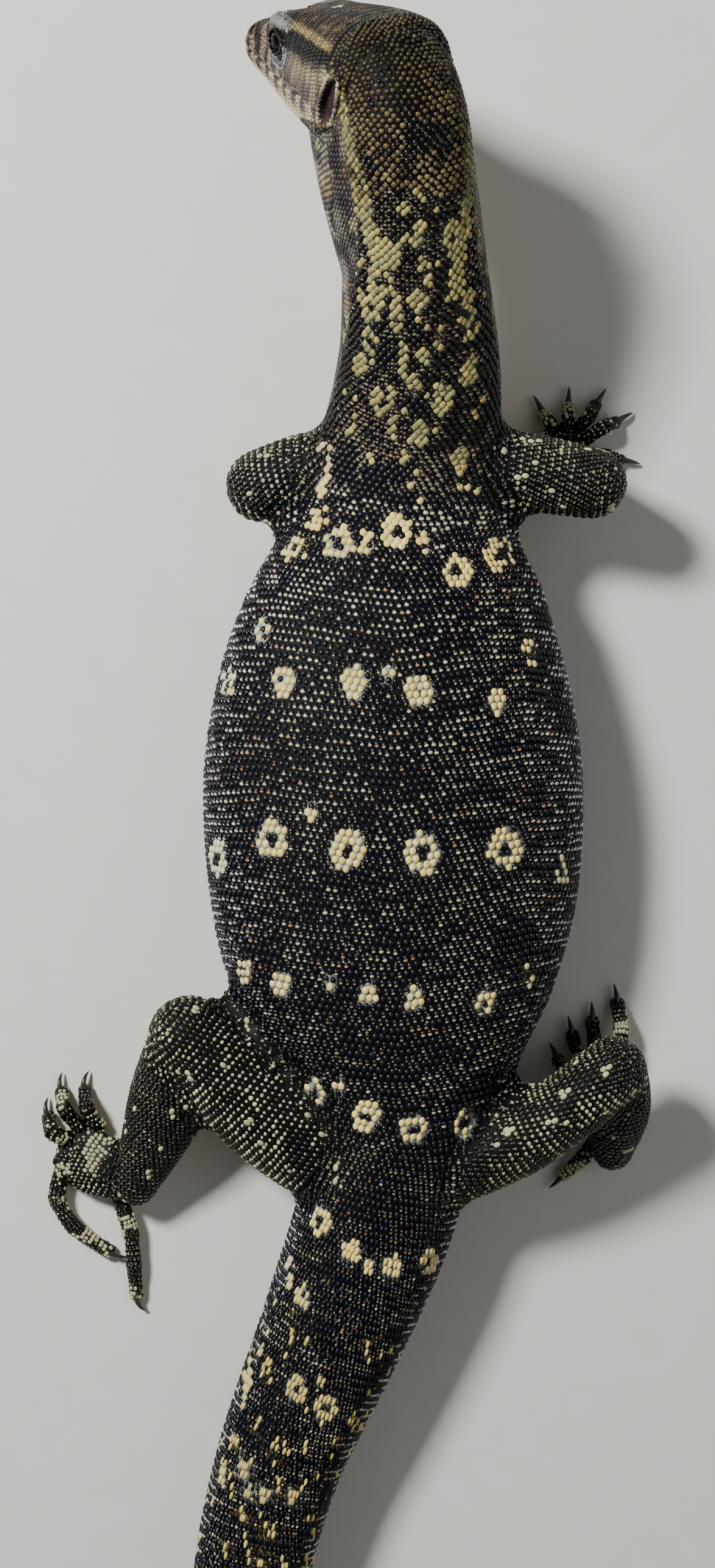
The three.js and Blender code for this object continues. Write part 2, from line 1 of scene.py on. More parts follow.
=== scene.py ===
# A young water monitor lizard at life size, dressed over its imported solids: one skin, beaded
# scales seated on it, wet dark eyes and horn claws. Shapes are worked out in millimetres in
# the frame's own axes (+Y ahead, +X its right side, +Z up) and go into the meshes in metres.
import json
from functools import partial

import bpy
import numpy as np
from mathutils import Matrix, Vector

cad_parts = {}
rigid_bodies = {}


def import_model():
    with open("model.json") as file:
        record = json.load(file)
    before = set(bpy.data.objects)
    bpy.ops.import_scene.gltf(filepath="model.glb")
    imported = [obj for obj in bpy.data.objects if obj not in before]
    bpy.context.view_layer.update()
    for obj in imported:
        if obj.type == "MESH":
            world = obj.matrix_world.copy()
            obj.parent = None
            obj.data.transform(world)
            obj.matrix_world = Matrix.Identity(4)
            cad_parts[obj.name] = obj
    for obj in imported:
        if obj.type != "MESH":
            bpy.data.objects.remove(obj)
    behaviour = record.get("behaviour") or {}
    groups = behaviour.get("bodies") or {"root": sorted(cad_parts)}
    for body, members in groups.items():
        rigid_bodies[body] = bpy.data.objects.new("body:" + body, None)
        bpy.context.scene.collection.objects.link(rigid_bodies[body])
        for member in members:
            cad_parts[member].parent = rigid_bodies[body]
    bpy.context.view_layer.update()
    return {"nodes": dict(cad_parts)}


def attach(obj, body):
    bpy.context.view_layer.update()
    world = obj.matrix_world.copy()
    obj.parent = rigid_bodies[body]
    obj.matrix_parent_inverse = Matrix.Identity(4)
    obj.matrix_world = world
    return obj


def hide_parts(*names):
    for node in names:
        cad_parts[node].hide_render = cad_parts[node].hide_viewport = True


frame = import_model()

MM = 0.001
UP = np.array([0.0, 0.0, 1.0])

# Driving sizes of the skin: its depth below the solids, the reach of the fillets, the voxels
# that fuse it, and the height from which scales are seated on it
SKIN_DEPTH = 0.32
HEAD_SKIN_DEPTH = 0.16
FILLET = 1.7
VOXEL = 1.12
SEAT_REACH = 2.0

# The centre line from the neck's end inside the head back to the tip of the tail:
# x, y, z, half width, height above, depth below, roll in degrees, crest height
BODY_STATIONS = np.array([
    [-2.0, 135.0, 48.4, 4.2, 3.8, 3.6, 34, 0],
    [-0.8, 132.8, 50.4, 8.2, 7.8, 7.4, 26, 0],
    [0.9, 128.4, 52.4, 10.6, 10.2, 9.6, 19.2, 0],
    [2.2, 122.0, 52.4, 11.8, 11.2, 10.6, 13.4, 0],
    [3.3, 114.0, 50.0, 12.4, 11.0, 11.2, 8.6, 0],
    [4.3, 105.0, 45.4, 13.0, 10.8, 11.6, 4.9, 0],
    [5.3, 94.0, 39.2, 13.9, 10.8, 12.0, 2.2, 0],
    [6.1, 82.0, 31.6, 15.4, 11.4, 12.8, 0.6, 0],
    [5.3, 70.0, 24.4, 17.4, 12.2, 14.2, 0, 0],
    [4.1, 60.0, 20.2, 21.2, 13.6, 16.0, 0, 0],
    [3.0, 50.0, 18.0, 23.4, 16.2, 17.2, 0, 0],
    [2.5, 40.0, 17.2, 28.3, 18.8, 17.8, 0, 0],
    [1.7, 24.0, 17.4, 33.6, 20.4, 18.2, 0, 0],
    [1.4, 6.0, 17.4, 36.7, 21.2, 18.3, 0, 0],
    [1.5, -12.0, 17.3, 36.6, 20.9, 18.2, 0, 0],
    [1.5, -28.0, 17.0, 34.4, 19.8, 17.9, 0, 0],
    [2.0, -41.0, 16.2, 30.2, 18.6, 17.1, 0, 0],
    [2.4, -52.0, 15.2, 24.2, 17.2, 16.1, 0, 0],
    [2.3, -61.0, 14.4, 19.4, 16.0, 15.2, 0, 0],
    [1.2, -70.0, 13.6, 16.6, 15.2, 14.4, 0, 0],
    [-0.9, -79.0, 13.0, 15.8, 14.6, 13.7, 0, 0],
    [-4.2, -90.0, 12.6, 15.3, 13.8, 13.2, 0, 0],
    [-11.6, -109.0, 12.0, 14.0, 12.8, 12.6, 0, 0],
    [-20.6, -131.0, 11.2, 12.4, 11.9, 11.7, 0, 0],
    [-26.2, -153.0, 10.4, 11.4, 11.0, 10.9, 0, 0.1],
    [-28.6, -177.0, 9.5, 10.0, 10.2, 9.9, 0, 0.3],
    [-26.6, -203.0, 8.4, 8.4, 9.4, 8.8, 0, 0.5],
    [-18.0, -230.0, 7.3, 7.0, 8.4, 7.6, 0, 0.6],
    [-5.5, -255.0, 6.3, 5.8, 7.4, 6.6, 0, 0.75],
    [8.0, -280.0, 5.4, 4.8, 6.4, 5.7, 0, 0.9],
    [16.6, -307.0, 4.5, 3.9, 5.4, 4.8, 0, 0.9],
    [18.6, -335.0, 3.7, 3.1, 4.4, 4.0, 0, 0.7],
    [13.4, -362.0, 2.9, 2.4, 3.4, 3.1, 0, 0.5],
    [2.4, -387.0, 2.2, 1.8, 2.6, 2.4, 0, 0.4],
    [-11.8, -410.0, 1.6, 1.3, 1.8, 1.7, 0, 0.3],
    [-24.6, -433.0, 1.1, 0.9, 1.2, 1.2, 0, 0.2],
    [-34.0, -455.0, 0.7, 0.5, 0.6, 0.7, 0, 0],
])
TAIL_SPLIT = -132.0

# The throat under the jaw and each limb: x, y, z, half thickness across and upright
LIMBS = {
    "throat": [[-8.6, 126.5, 40.5, 7.0, 7.6], [-5.6, 119, 44.6, 8.8, 10.0],
               [-2, 109, 44.0, 10.2, 10.8], [3.4, 96, 38.6, 11.6, 10.8]],
    "upper_arm_left": [[-5, 62.6, 20.5, 8.4, 8.6], [-15, 61.6, 20, 7.8, 8.0], [-24.0, 59.2, 18.4, 7.2, 7.2]],
    "forearm_left": [[-23.6, 59.6, 16.4, 6.0, 6.0], [-14.5, 66, 10.6, 4.9, 4.9], [-5, 72.4, 5.4, 3.4, 3.2]],
    "upper_arm_right": [[14, 62.5, 20.5, 8.4, 8.6], [27, 61.4, 21.4, 7.7, 7.8], [39.6, 59.2, 22.2, 6.9, 7.0]],
    "forearm_right": [[39.4, 60.2, 20, 6.4, 6.2], [34.6, 64, 12.8, 5.0, 5.0], [30, 67, 5.8, 3.5, 3.4]],
    "thigh_left": [[-5, -72, 15.5, 12.4, 9.4], [-21.8, -61.6, 17.6, 11.6, 9.4],
                   [-38.0, -47.4, 20.6, 8.2, 7.8]],
    "shank_left": [[-38.4, -47.4, 19.2, 7.4, 7.0], [-42.8, -61.6, 13.6, 8.0, 6.8],
                   [-49.6, -78.2, 6.4, 4.5, 4.5]],
    "thigh_right": [[8, -74.5, 15.5, 8.2, 9.4], [26.2, -67.2, 19.5, 7.2, 8.6], [43.2, -54, 24.4, 6.6, 7.4]],
    "shank_right": [[43.8, -53.6, 22.6, 6.4, 6.8], [45.6, -62, 15, 6.2, 6.6], [45.2, -71.4, 6.6, 4.2, 4.4]],
}

# Each foot: the palm's points with half breadth and half height, then each toe's points,
# innermost first, and last the toe's half breadth at its root
FEET = {
    "hand_left": {
        "palm": [[-4.6, 72.4, 5, 3.2, 3.0], [-2.6, 77, 3.5, 5.0, 2.8], [-1, 81, 2.7, 5.2, 2.3]],
        "toes": [
            ([[2.4, 78.4, 2.4], [5.8, 81, 3.8], [8.2, 84, 1.2]], 1.7),
            ([[0.8, 80.4, 2.5], [4, 85.8, 4.2], [6.2, 90.8, 1.2]], 1.7),
            ([[-1, 81.2, 2.6], [0, 87.6, 4.4], [0.6, 93.6, 1.2]], 1.75),
            ([[-2.8, 80.6, 2.5], [-3.6, 86.4, 4.4], [-4, 92, 1.2]], 1.75),
            ([[-4, 78.6, 2.4], [-5.8, 82, 3.8], [-6.8, 85.6, 1.2]], 1.65),
        ],
    },
    "hand_right": {
        "palm": [[29.8, 66.8, 5.2, 3.3, 3.1], [33.6, 68.2, 3.6, 4.9, 2.8], [37.4, 69, 2.7, 5.2, 2.3]],
        "toes": [
            ([[34.2, 71.8, 2.4], [32.8, 74, 4.2], [31.8, 76, 1.2]], 1.7),
            ([[36.2, 72.6, 2.5], [36.6, 75, 4.8], [36.8, 77.4, 1.2]], 1.7),
            ([[38.2, 72.0, 2.6], [40.8, 75, 5.2], [42.4, 77.6, 1.2]], 1.75),
            ([[39.8, 70.2, 2.5], [43.6, 72.6, 5.2], [46.4, 74.2, 1.2]], 1.75),
            ([[39.4, 67.4, 2.4], [44, 67.2, 4.2], [47.4, 66.6, 1.2]], 1.65),
        ],
    },
    "foot_left": {
        "palm": [[-50, -78.6, 5.2, 4.2, 3.6], [-56.4, -75.4, 4.0, 6.4, 3.2], [-61.6, -72.6, 2.9, 6.8, 2.5]],
        "toes": [
            ([[-57.8, -67.2, 2.7], [-59.6, -63.4, 4.8], [-60.4, -60.4, 1.3]], 1.9),
            ([[-61, -67.6, 2.8], [-63.8, -63.8, 5.4], [-65, -60.8, 1.3]], 1.95),
            ([[-63, -70, 2.9], [-66.2, -68.2, 5.6], [-67.6, -65.8, 1.3]], 2.0),
            ([[-64, -75.4, 2.8], [-65.8, -81.4, 2.4], [-62.4, -87.6, 2.4], [-55.6, -92.6, 1.4]], 2.05),
            ([[-54, -79.6, 3.2], [-51.2, -87.6, 3.0], [-50.4, -95, 2.6], [-50, -101.4, 1.4]], 1.95),
        ],
    },
    "foot_right": {
        "palm": [[45.2, -71.6, 5.4, 4.0, 3.6], [44.2, -65.4, 4.0, 5.6, 3.2], [43, -59.6, 2.9, 6.2, 2.5]],
        "toes": [
            ([[38.8, -61, 2.7], [36.6, -57.6, 4.4], [35, -54.4, 1.3]], 1.9),
            ([[40.6, -58.8, 2.8], [38.8, -53.8, 5.2], [37.8, -49.4, 1.3]], 1.95),
            ([[42.8, -58, 2.9], [42, -52, 5.6], [41.8, -46.6, 1.3]], 2.0),
            ([[45.4, -58.6, 2.8], [46.6, -52, 5.4], [47.2, -47.6, 4.6], [46.8, -43, 1.4]], 2.05),
            ([[42.6, -69.6, 3.2], [39.4, -73.8, 3.8], [36, -77.2, 1.3]], 1.95),
        ],
    },
}
CLAW_TURNS = {
    "hand_left": [0, 0, 0, 0, 0],
    "hand_right": [0, 0, 0, 0, 0],
    "foot_left": [-60, -50, -60, 40, 62],
    "foot_right": [0, 0, 0, 10, 0],
}
CLAW_RADIUS = 0.95
CLAW_LENGTH = 4.4

# The head in its own frame, tip at zero: distance back, half width, crown and chin height
HEAD_STATIONS = np.array([
    [0.9, 1.5, 1.4, -1.4],
    [1.7, 2.7, 2.7, -2.4],
    [3.4, 3.9, 3.9, -3.4],
    [6, 4.8, 5.0, -4.4],
    [9, 5.5, 5.8, -5.2],
    [12.5, 6.5, 7.2, -6.0],
    [16, 7.8, 8.9, -6.9],
    [20, 9.1, 10.1, -7.9],
    [25, 10.6, 11.0, -9.0],
    [30.5, 11.9, 11.7, -9.8],
    [36, 12.7, 12.1, -10.0],
    [41, 12.0, 12.1, -9.8],
    [47.5, 10.6, 11.6, -9.2],
])
HEAD_LENGTH = 47.9
DOME_START = 41.0
HEAD_SCALE = 1.077
HEAD_TIP = np.array([-25.6, 145.5, 21.1])
HEAD_YAW = 54.5
HEAD_PITCH = -41.5
HEAD_ROLL = 41.2
EYE = np.array([5.5, -17.6, 4.7])
EYE_RADIUS = 2.45
EYE_OPENING = (2.15, 1.8)
LID_RADIUS = 2.86
NOSTRIL = np.array([3.5, -5.6, 3.1])
EAR = np.array([12.1, -38.6, 0.3])
EAR_SIZE = (1.45, 3.9)
EAR_LEAN = 14.0
MOUTH_LENGTH = 29.0

# Scales: how far a place strays in its lattice, how full a round scale is of its cell, how near
# and how far the skin may lie from where a scale hovers and the least cosine by which it faces
# it, how near two scales may stand as a share of their half widths' sum, how far a scale
# reaches past its own row, the half width of a granule, the least distance between granules,
# the radius of a scale's patch on the unwrap, the rows in a strip of it, and the most scales in
# a piece, about
LATTICE_JITTER = 0.05
ROUND_FULLNESS = 1.16
SEAT_NEAREST = 0.7
SEAT_FARTHEST = 4.2
SEAT_FACING = 0.68
CROWDING = 0.8
SCALE_LENGTH = 1.13
GRANULE = 0.46
GRANULE_GAP = 0.8
UV_RADIUS = 0.0015
STRIP_ROWS = 36
PIECE_SCALES = 6200

BODY, HEAD, LIMB, FOOT, THROAT = range(5)

rng = np.random.default_rng(23)


def unit(vectors):
    """Vectors divided by their own lengths."""
    return vectors / np.maximum(np.linalg.norm(vectors, axis=-1, keepdims=True), 1e-9)


def dot(first, second):
    """Dot products of vectors, their last axis kept."""
    return (first * second).sum(-1, keepdims=True)


def laid_flat(vectors, normals, spare=0.0):
    """Unit vectors square to their normals: v - n (n . v), with a spare length against zero."""
    return unit(vectors - normals * dot(vectors, normals) + spare)


def run_along(points):
    """Length along each row of points from its first one."""
    step = np.linalg.norm(np.diff(points, axis=-2), axis=-1)
    return np.concatenate([0 * step[..., :1], np.cumsum(step, -1)], -1)


def read_rows(wanted, known, values, gap):
    """Values read at the wanted places, each row from its own rising row of known places: the
    rows are moved apart by a gap and read as one."""
    offset = gap * np.arange(len(known))[:, None]
    found = np.interp((wanted + offset).ravel(), (known + offset).ravel(), np.tile(values, len(known)))
    return found.reshape(len(known), -1)


def smooth_step(low, high, value):
    """0 below low, 1 above high, and 3s^2 - 2s^3 between them. With low above high it falls."""
    share = np.clip((value - low) / (high - low), 0, 1)
    return share * share * (3 - 2 * share)


def window(value, low, inner_low, inner_high, high):
    """0 outside low and high, and 1 between the inner two, by a smooth step up and one down."""
    return smooth_step(low, inner_low, value) * smooth_step(high, inner_high, value)


def hill(value, middle, width):
    """A bell, exp(-((value - middle) / width)^2)."""
    return np.exp(-((value - middle) / width) ** 2)


def blend_rows(rows, u):
    """Rows of a table read at any index u, by the cubic through each two rows whose slopes
    are half the difference of the rows beside them."""
    rows = np.asarray(rows, float)
    last = len(rows) - 1
    first = np.clip(np.floor(u).astype(int), 0, last - 1)
    share = np.clip(u - first, 0, 1)[..., None]
    a, b, c, d = (rows[np.clip(first + k, 0, last)] for k in (-1, 0, 1, 2))
    slope_in, slope_out, rise = (c - a) / 2, (d - b) / 2, c - b
    cubic = slope_in + slope_out - 2 * rise
    square = 3 * rise - 2 * slope_in - slope_out
    return b + share * (slope_in + share * (square + share * cubic))


def turned(vectors, axis, angle):
    """Vectors turned about a unit axis: v cos + (axis x v) sin + axis (axis . v)(1 - cos)."""
    c, s = np.cos(angle)[..., None], np.sin(angle)[..., None]
    return vectors * c + np.cross(axis, vectors) * s + axis * dot(vectors, axis) * (1 - c)


def body_frame(u):
    """The body's table row at index u, and the directions to its right side and its back."""
    row, spine = blend_rows(BODY_STATIONS, u), BODY_STATIONS[:, :3]
    forward = unit(blend_rows(spine, u - 0.02) - blend_rows(spine, u + 0.02))
    side = turned(unit(np.cross(forward, UP)), forward, np.radians(row[..., 6]))
    return row, side, np.cross(side, forward)


BODY_FRAMES = body_frame(np.linspace(0, len(BODY_STATIONS) - 1, 900))


def body_surface(u, angle, grow=0.0):
    """The body at table index u and angle round it, 0 on its right side and 90 degrees on its
    back: a superellipse square to the centre line, across = half |cos|^(2/p) and rise = height
    |sin|^(2/p) with p near 2.2, plus a bell-shaped crest on the tail, flattened by the ground."""
    u, angle = np.broadcast_arrays(u, angle)
    row, side, upright = body_frame(u)
    c, s = np.cos(angle), np.sin(angle)
    power = 2 / np.where(s >= 0, 2.12, 2.38)
    across = (row[..., 3] + grow) * np.sign(c) * np.abs(c) ** power
    height = np.where(s >= 0, row[..., 4], row[..., 5]) + grow
    rise = height * np.sign(s) * np.abs(s) ** power
    rise = rise + row[..., 7] * hill(across, 0, 1.1) * (s > 0.5)
    points = row[..., :3] + side * across[..., None] + upright * rise[..., None]
    points[..., 2] = np.maximum(points[..., 2], -grow)
    return points


def limb_surface(rows, v, angle, grow=0.0):
    """A limb at v along its points and angle round it. Before its first point and past its
    last one it closes as a half ball: scale = sqrt(1 - past^2), shifted past x radius."""
    v, angle = np.broadcast_arrays(v, angle)
    last = len(rows) - 1
    u = np.clip(v, 0, last)
    row = blend_rows(rows, u)
    spine = np.asarray(rows, float)[:, :3]
    ahead, behind = np.minimum(u + 0.05, last), np.maximum(u - 0.05, 0)
    along = unit(blend_rows(spine, ahead) - blend_rows(spine, behind))
    side = unit(np.cross(along, UP))
    upright = np.cross(side, along)
    past = np.clip(v - u, -1, 1)
    scale = np.sqrt(1 - past ** 2)
    shift = past * (row[..., 3] + row[..., 4] + 2 * grow) / 2
    across = np.cos(angle) * (row[..., 3] + grow) * scale
    rise = np.sin(angle) * (row[..., 4] + grow) * scale
    points = row[..., :3] + along * shift[..., None]
    points = points + side * across[..., None] + upright * rise[..., None]
    points[..., 2] = np.maximum(points[..., 2], -grow)
    return points


def toe_rows(points, root):
    """A toe's points as limb rows, 26% thinner at the tip and swollen at each joint."""
    count = len(points) * 2 - 1
    share = np.linspace(0, 1, count)
    spine = blend_rows(points, share * (len(points) - 1))
    half = root * (1 - 0.26 * share) * np.where(np.arange(count) % 2, 0.93, 1.04)
    return np.column_stack([spine, half, half * 0.95])


def head_axes():
    """The head's right, forward and up directions in the frame, as the columns of
    Rz(yaw) Rx(pitch) Ry(roll)."""
    yaw, pitch, roll = np.radians([HEAD_YAW, HEAD_PITCH, HEAD_ROLL])
    (cy, cp, cr), (sy, sp, sr) = np.cos([yaw, pitch, roll]), np.sin([yaw, pitch, roll])
    about_z = np.array([[cy, -sy, 0], [sy, cy, 0], [0, 0, 1]])
    about_x = np.array([[1, 0, 0], [0, cp, -sp], [0, sp, cp]])
    about_y = np.array([[cr, 0, sr], [0, 1, 0], [-sr, 0, cr]])
    return about_z @ about_x @ about_y


HEAD_AXES = head_axes()


def from_head(points):
    """Head coordinates to frame coordinates."""
    return HEAD_TIP + HEAD_SCALE * points @ HEAD_AXES.T


def to_head(points):
    """Frame coordinates to head coordinates."""
    return (points - HEAD_TIP) @ HEAD_AXES / HEAD_SCALE


def on_right(points):
    """Frame coordinates to head coordinates, mirrored to the right side."""
    own = to_head(points)
    own[:, 0] = np.abs(own[:, 0])
    return own


def mouth_height(t):
    """Height of the lip line, dipping and then flattening towards the jaw's corner."""
    return -0.075 * t + 0.0012 * t * t


def head_outline(t):
    """Half width, crown height and chin height at distance t back. The last part closes as a
    dome, and the first millimetre as a round nose."""
    u_fine = np.linspace(0, len(HEAD_STATIONS) - 1, 2001)
    u = np.interp(t, blend_rows(HEAD_STATIONS[:, :1], u_fine)[:, 0], u_fine)
    row = blend_rows(HEAD_STATIONS, u)
    past = np.clip((t - DOME_START) / (HEAD_LENGTH - DOME_START), 0, 1)
    short = np.clip((1.9 - t) / 1.35, 0, 1)
    close = np.sqrt(1 - past ** 2) * np.sqrt(1 - 0.92 * short ** 2)
    return row[..., 1] * close, row[..., 2] * close, row[..., 3] * close


def head_form(t, level):
    """The right half of the head without its fine features. level runs from 1 at the crown
    through 0 at the widest line to -1 at the chin, a superellipse of power 2.7 above and 2.45
    below, with the brow, midline, cheek and temple as bells."""
    t, level = np.broadcast_arrays(t, level)
    half, crown, chin = head_outline(t)
    widest = mouth_height(t) - 0.6
    widest = np.clip(widest, chin * 0.5, crown * 0.5)
    angle = np.abs(level) * np.pi / 2
    power = 2 / np.where(level > 0, 2.7, 2.45)
    x = half * np.abs(np.cos(angle)) ** power
    reach = np.where(level > 0, crown - widest, widest - chin)
    z = widest + np.sign(level) * reach * np.abs(np.sin(angle)) ** power
    on_top = np.clip(z / 4, 0, 1)
    z = z + (1.2 * hill(t, 18, 5) * hill(x, 6.4, 1.9) - 0.5 * hill(t, 17, 9) * hill(x, 0, 2.2)) * on_top
    x = x + 0.7 * hill(t, 33, 5) * hill(z, -4, 4) - 0.5 * hill(t, 27, 6) * hill(z, 4, 3)
    x = np.where(np.abs(level) > 0.999, 0, np.maximum(x, 0))
    return np.stack([x, -t, z], -1)


def almond(points):
    """How far outside the lids' opening a point of the right side lies, in mm, negative
    inside: (|along| / a)^1.8 + (|up| / b)^2 - 1, times b / 2, in the eye's own plane."""
    away = points - EYE
    long, high = EYE_OPENING
    size = (np.abs(away[..., 1]) / long) ** 1.8 + (np.abs(away[..., 2] + 0.05) / high) ** 2
    return (size - 1) * high / 2


def ear_radius(points):
    """Elliptical radius about the ear's middle, 1 at its rim, leaning back at the top."""
    lean = np.radians(EAR_LEAN)
    along = -(points[..., 1] - EAR[1])
    up = points[..., 2] - EAR[2]
    back = along * np.cos(lean) - up * np.sin(lean)
    high = along * np.sin(lean) + up * np.cos(lean)
    return np.sqrt((back / EAR_SIZE[0]) ** 2 + (high / EAR_SIZE[1]) ** 2)


def lip_distance(points):
    """Height above the lip line."""
    return points[..., 2] - mouth_height(-points[..., 1])


def add_features(points, normals):
    """The right side with its features, in head coordinates: canthus and brow ridges, hollow
    before the eye, lids over the eyeball, nostril, ear cup and mouth line. Each is a bell of
    distance moved along the normal, and the lids are the ball of LID_RADIUS round the eye."""
    t, z = -points[..., 1], points[..., 2]
    lateral = smooth_step(2.0, 3.2, points[..., 0])
    ridge_z = np.interp(t, [4, 8, 12, 16, 20, 23], [3.0, 4.5, 6.2, 7.7, 8.0, 7.6])
    ridge = 0.35 * smooth_step(5, 9, t) * (1 - smooth_step(20, 25, t)) * hill(z, ridge_z, 0.9)
    brow = 0.85 * np.exp(-((t - 17.4) / 4.2) ** 4) * hill(z, ridge_z - 0.2, 0.85)
    hollow = -0.55 * hill(t, 11.8, 2.6) * hill(z, 2.6, 1.7) - 0.35 * hill(t, 22.5, 2.2) * hill(z, 4.6, 1.5)
    under = 0.2 * hill(t, 19, 6) * hill(z, 0.8, 1.0)
    nostril = np.linalg.norm((points - NOSTRIL)[..., 1:] * [1, 1.15], axis=-1)
    nose = 0.22 * hill(nostril, 1.25, 0.4) - 1.0 * smooth_step(1.05, 0.55, nostril)
    ear = ear_radius(points)
    cup = -1.25 * smooth_step(1.08, 0.72, ear) + 0.22 * hill(ear, 1.28, 0.2)
    cup = cup * smooth_step(6, 8, points[..., 0])
    above = lip_distance(points)
    open_share = 1 - smooth_step(MOUTH_LENGTH - 2.5, MOUTH_LENGTH, t)
    lips = 0.16 * hill(above, 0.75, 0.5) + 0.08 * hill(above, -0.8, 0.5)
    mouth = open_share * (-0.5 * hill(above, 0, 0.26) + lips)
    corner = -0.3 * hill(t, MOUTH_LENGTH, 1.2) * hill(above, 0, 0.5)
    shift = (ridge + brow + hollow + under + nose) * lateral + cup + mouth + corner
    moved = points + normals * shift[..., None]

    away = moved - EYE
    spread = np.hypot(away[..., 1], away[..., 2])
    near = (spread < LID_RADIUS + 1.2) & (away[..., 0] > 0)
    lid = np.sqrt(np.maximum(LID_RADIUS ** 2 - spread ** 2, 0))
    edge = almond(moved)
    lid = lid + 0.16 * hill(edge, 0.2, 0.17) - 0.1 * hill(edge, 0.75, 0.16) - 0.08 * hill(edge, 1.2, 0.16)
    soft = 0.3
    outer = away[..., 0]
    blended = soft * np.logaddexp(outer / soft, lid / soft)
    weight = smooth_step(LID_RADIUS + 1.0, LID_RADIUS - 0.3, spread)
    lidded = outer + (np.maximum(blended - 0.08, lid) - outer) * weight
    sunk = np.sqrt(np.maximum((EYE_RADIUS - 0.55) ** 2 - spread ** 2, 0))
    lidded = lidded + (sunk - lidded) * smooth_step(0.06, -0.14, edge)
    moved[..., 0] = np.where(near, lidded + EYE[0], moved[..., 0])
    return moved


def head_grid():
    """The right half of the head as a grid: rows back from the snout, closer at the eye, and
    columns at even shares of a weighted arc from crown to chin, closer at the eye and lips."""
    dense = np.linspace(0.62, HEAD_LENGTH - 0.02, 1500)
    weight = 1 + 1.1 * hill(dense, -EYE[1], 4.2) + 0.9 * hill(dense, 5.6, 2.2) + 0.8 * hill(dense, 38.6, 2.2)
    run = np.cumsum(weight)
    t = np.interp(np.linspace(run[0], run[-1], 176), run, dense)[:, None]
    level = np.linspace(1, -1, 701)
    form = head_form(t, level)
    step = np.linalg.norm(np.diff(form, axis=1), axis=-1)
    middle = (form[:, 1:] + form[:, :-1]) / 2
    by_eye = hill(middle[..., 2], 4.8, 3.4) * hill(t, 17.6, 8)
    closer = 1 + 0.9 * by_eye + 2.2 * hill(lip_distance(middle), 0, 0.7)
    run = np.cumsum(np.concatenate([0 * t, step * closer], 1), 1)
    wanted = read_rows(np.linspace(0, 1, 112), run / run[:, -1:], level, 2.0)
    wanted[:, 0], wanted[:, -1] = 1, -1
    points = head_form(t, wanted)
    back, down = np.gradient(points, axis=0), np.gradient(points, axis=1)
    return add_features(points, unit(np.cross(back, down)))


def both_sides(half):
    """A closed ring grid from the right half, mirrored to the left across x = 0."""
    left = half[:, -2:0:-1] * [-1, 1, 1]
    return np.concatenate([half, left], 1)


def tube(points):
    """Points, quads and triangles of a grid of closed rings with a fan at each end, turned
    so that its signed volume is positive and its faces point outwards."""
    rows, columns = points.shape[:2]
    index = np.arange(rows * columns).reshape(rows, columns)
    after = np.roll(index, -1, 1)
    quads = np.stack([index[:-1], index[1:], after[1:], after[:-1]], -1).reshape(-1, 4)
    first = np.stack([np.full(columns, rows * columns), index[0], after[0]], -1)
    last = np.stack([np.full(columns, rows * columns + 1), after[-1], index[-1]], -1)
    triangles = np.concatenate([first, last])
    vertices = np.concatenate([points.reshape(-1, 3), points[[0, -1]].mean(1)])
    corners = vertices[np.concatenate([triangles, quads[:, :3], quads[:, [0, 2, 3]]])]
    if np.einsum("ij,ij->", corners[:, 0], np.cross(corners[:, 1], corners[:, 2])) < 0:
        quads, triangles = quads[:, ::-1], triangles[:, ::-1]
    return vertices, quads, triangles


def joined(parts):
    """Several (points, quads, triangles) as one, with each part's indexes moved on."""
    starts = np.cumsum([0] + [len(points) for points, _, _ in parts])
    points = np.concatenate([points for points, _, _ in parts])
    quads = np.concatenate([quads + start for (_, quads, _), start in zip(parts, starts)])
    triangles = np.concatenate([three + start for (_, _, three), start in zip(parts, starts)])
    return points, quads, triangles


def new_piece(name, points, quads, triangles):
    """A mesh object whose places in millimetres go in as metres, with smooth shading."""
    mesh = bpy.data.meshes.new(name)
    mesh.vertices.add(len(points))
    mesh.vertices.foreach_set("co", (points * MM).astype(np.float32).ravel())
    corners = np.concatenate([quads.ravel(), triangles.ravel()]).astype(np.int32)
    if len(corners):
        sizes = np.concatenate([np.full(len(quads), 4), np.full(len(triangles), 3)])
        mesh.loops.add(len(corners))
        mesh.loops.foreach_set("vertex_index", corners)
        mesh.polygons.add(len(sizes))
        mesh.polygons.foreach_set("loop_start", (np.cumsum(sizes) - sizes).astype(np.int32))
        mesh.polygons.foreach_set("use_smooth", np.ones(len(sizes), bool))
    mesh.update(calc_edges=True)
    piece = bpy.data.objects.new(name, mesh)
    bpy.context.scene.collection.objects.link(piece)
    return piece


NO_FACES = np.zeros((0, 3), int)


def applied(piece):
    """The piece with its modifiers made part of its mesh."""
    graph = bpy.context.evaluated_depsgraph_get()
    mesh = bpy.data.meshes.new_from_object(piece.evaluated_get(graph))
    old = piece.data
    piece.modifiers.clear()
    piece.data = mesh
    mesh.name = piece.name
    bpy.data.meshes.remove(old)


def values_of(items, key, width=3, kind=float):
    """One property of all of a mesh's points, edges, corners or faces, with a row for each."""
    flat = np.empty(len(items) * width, kind)
    items.foreach_get(key, flat)
    return flat.reshape(-1, width)


def read_points(mesh):
    """Vertex places in millimetres."""
    return values_of(mesh.vertices, "co") / MM


def write_points(mesh, points):
    """Vertex places set from millimetres."""
    mesh.vertices.foreach_set("co", (points * MM).astype(np.float32).ravel())
    mesh.update()


def read_normals(mesh):
    """The skin's outward direction at each vertex."""
    return values_of(mesh.vertex_normals, "vector")


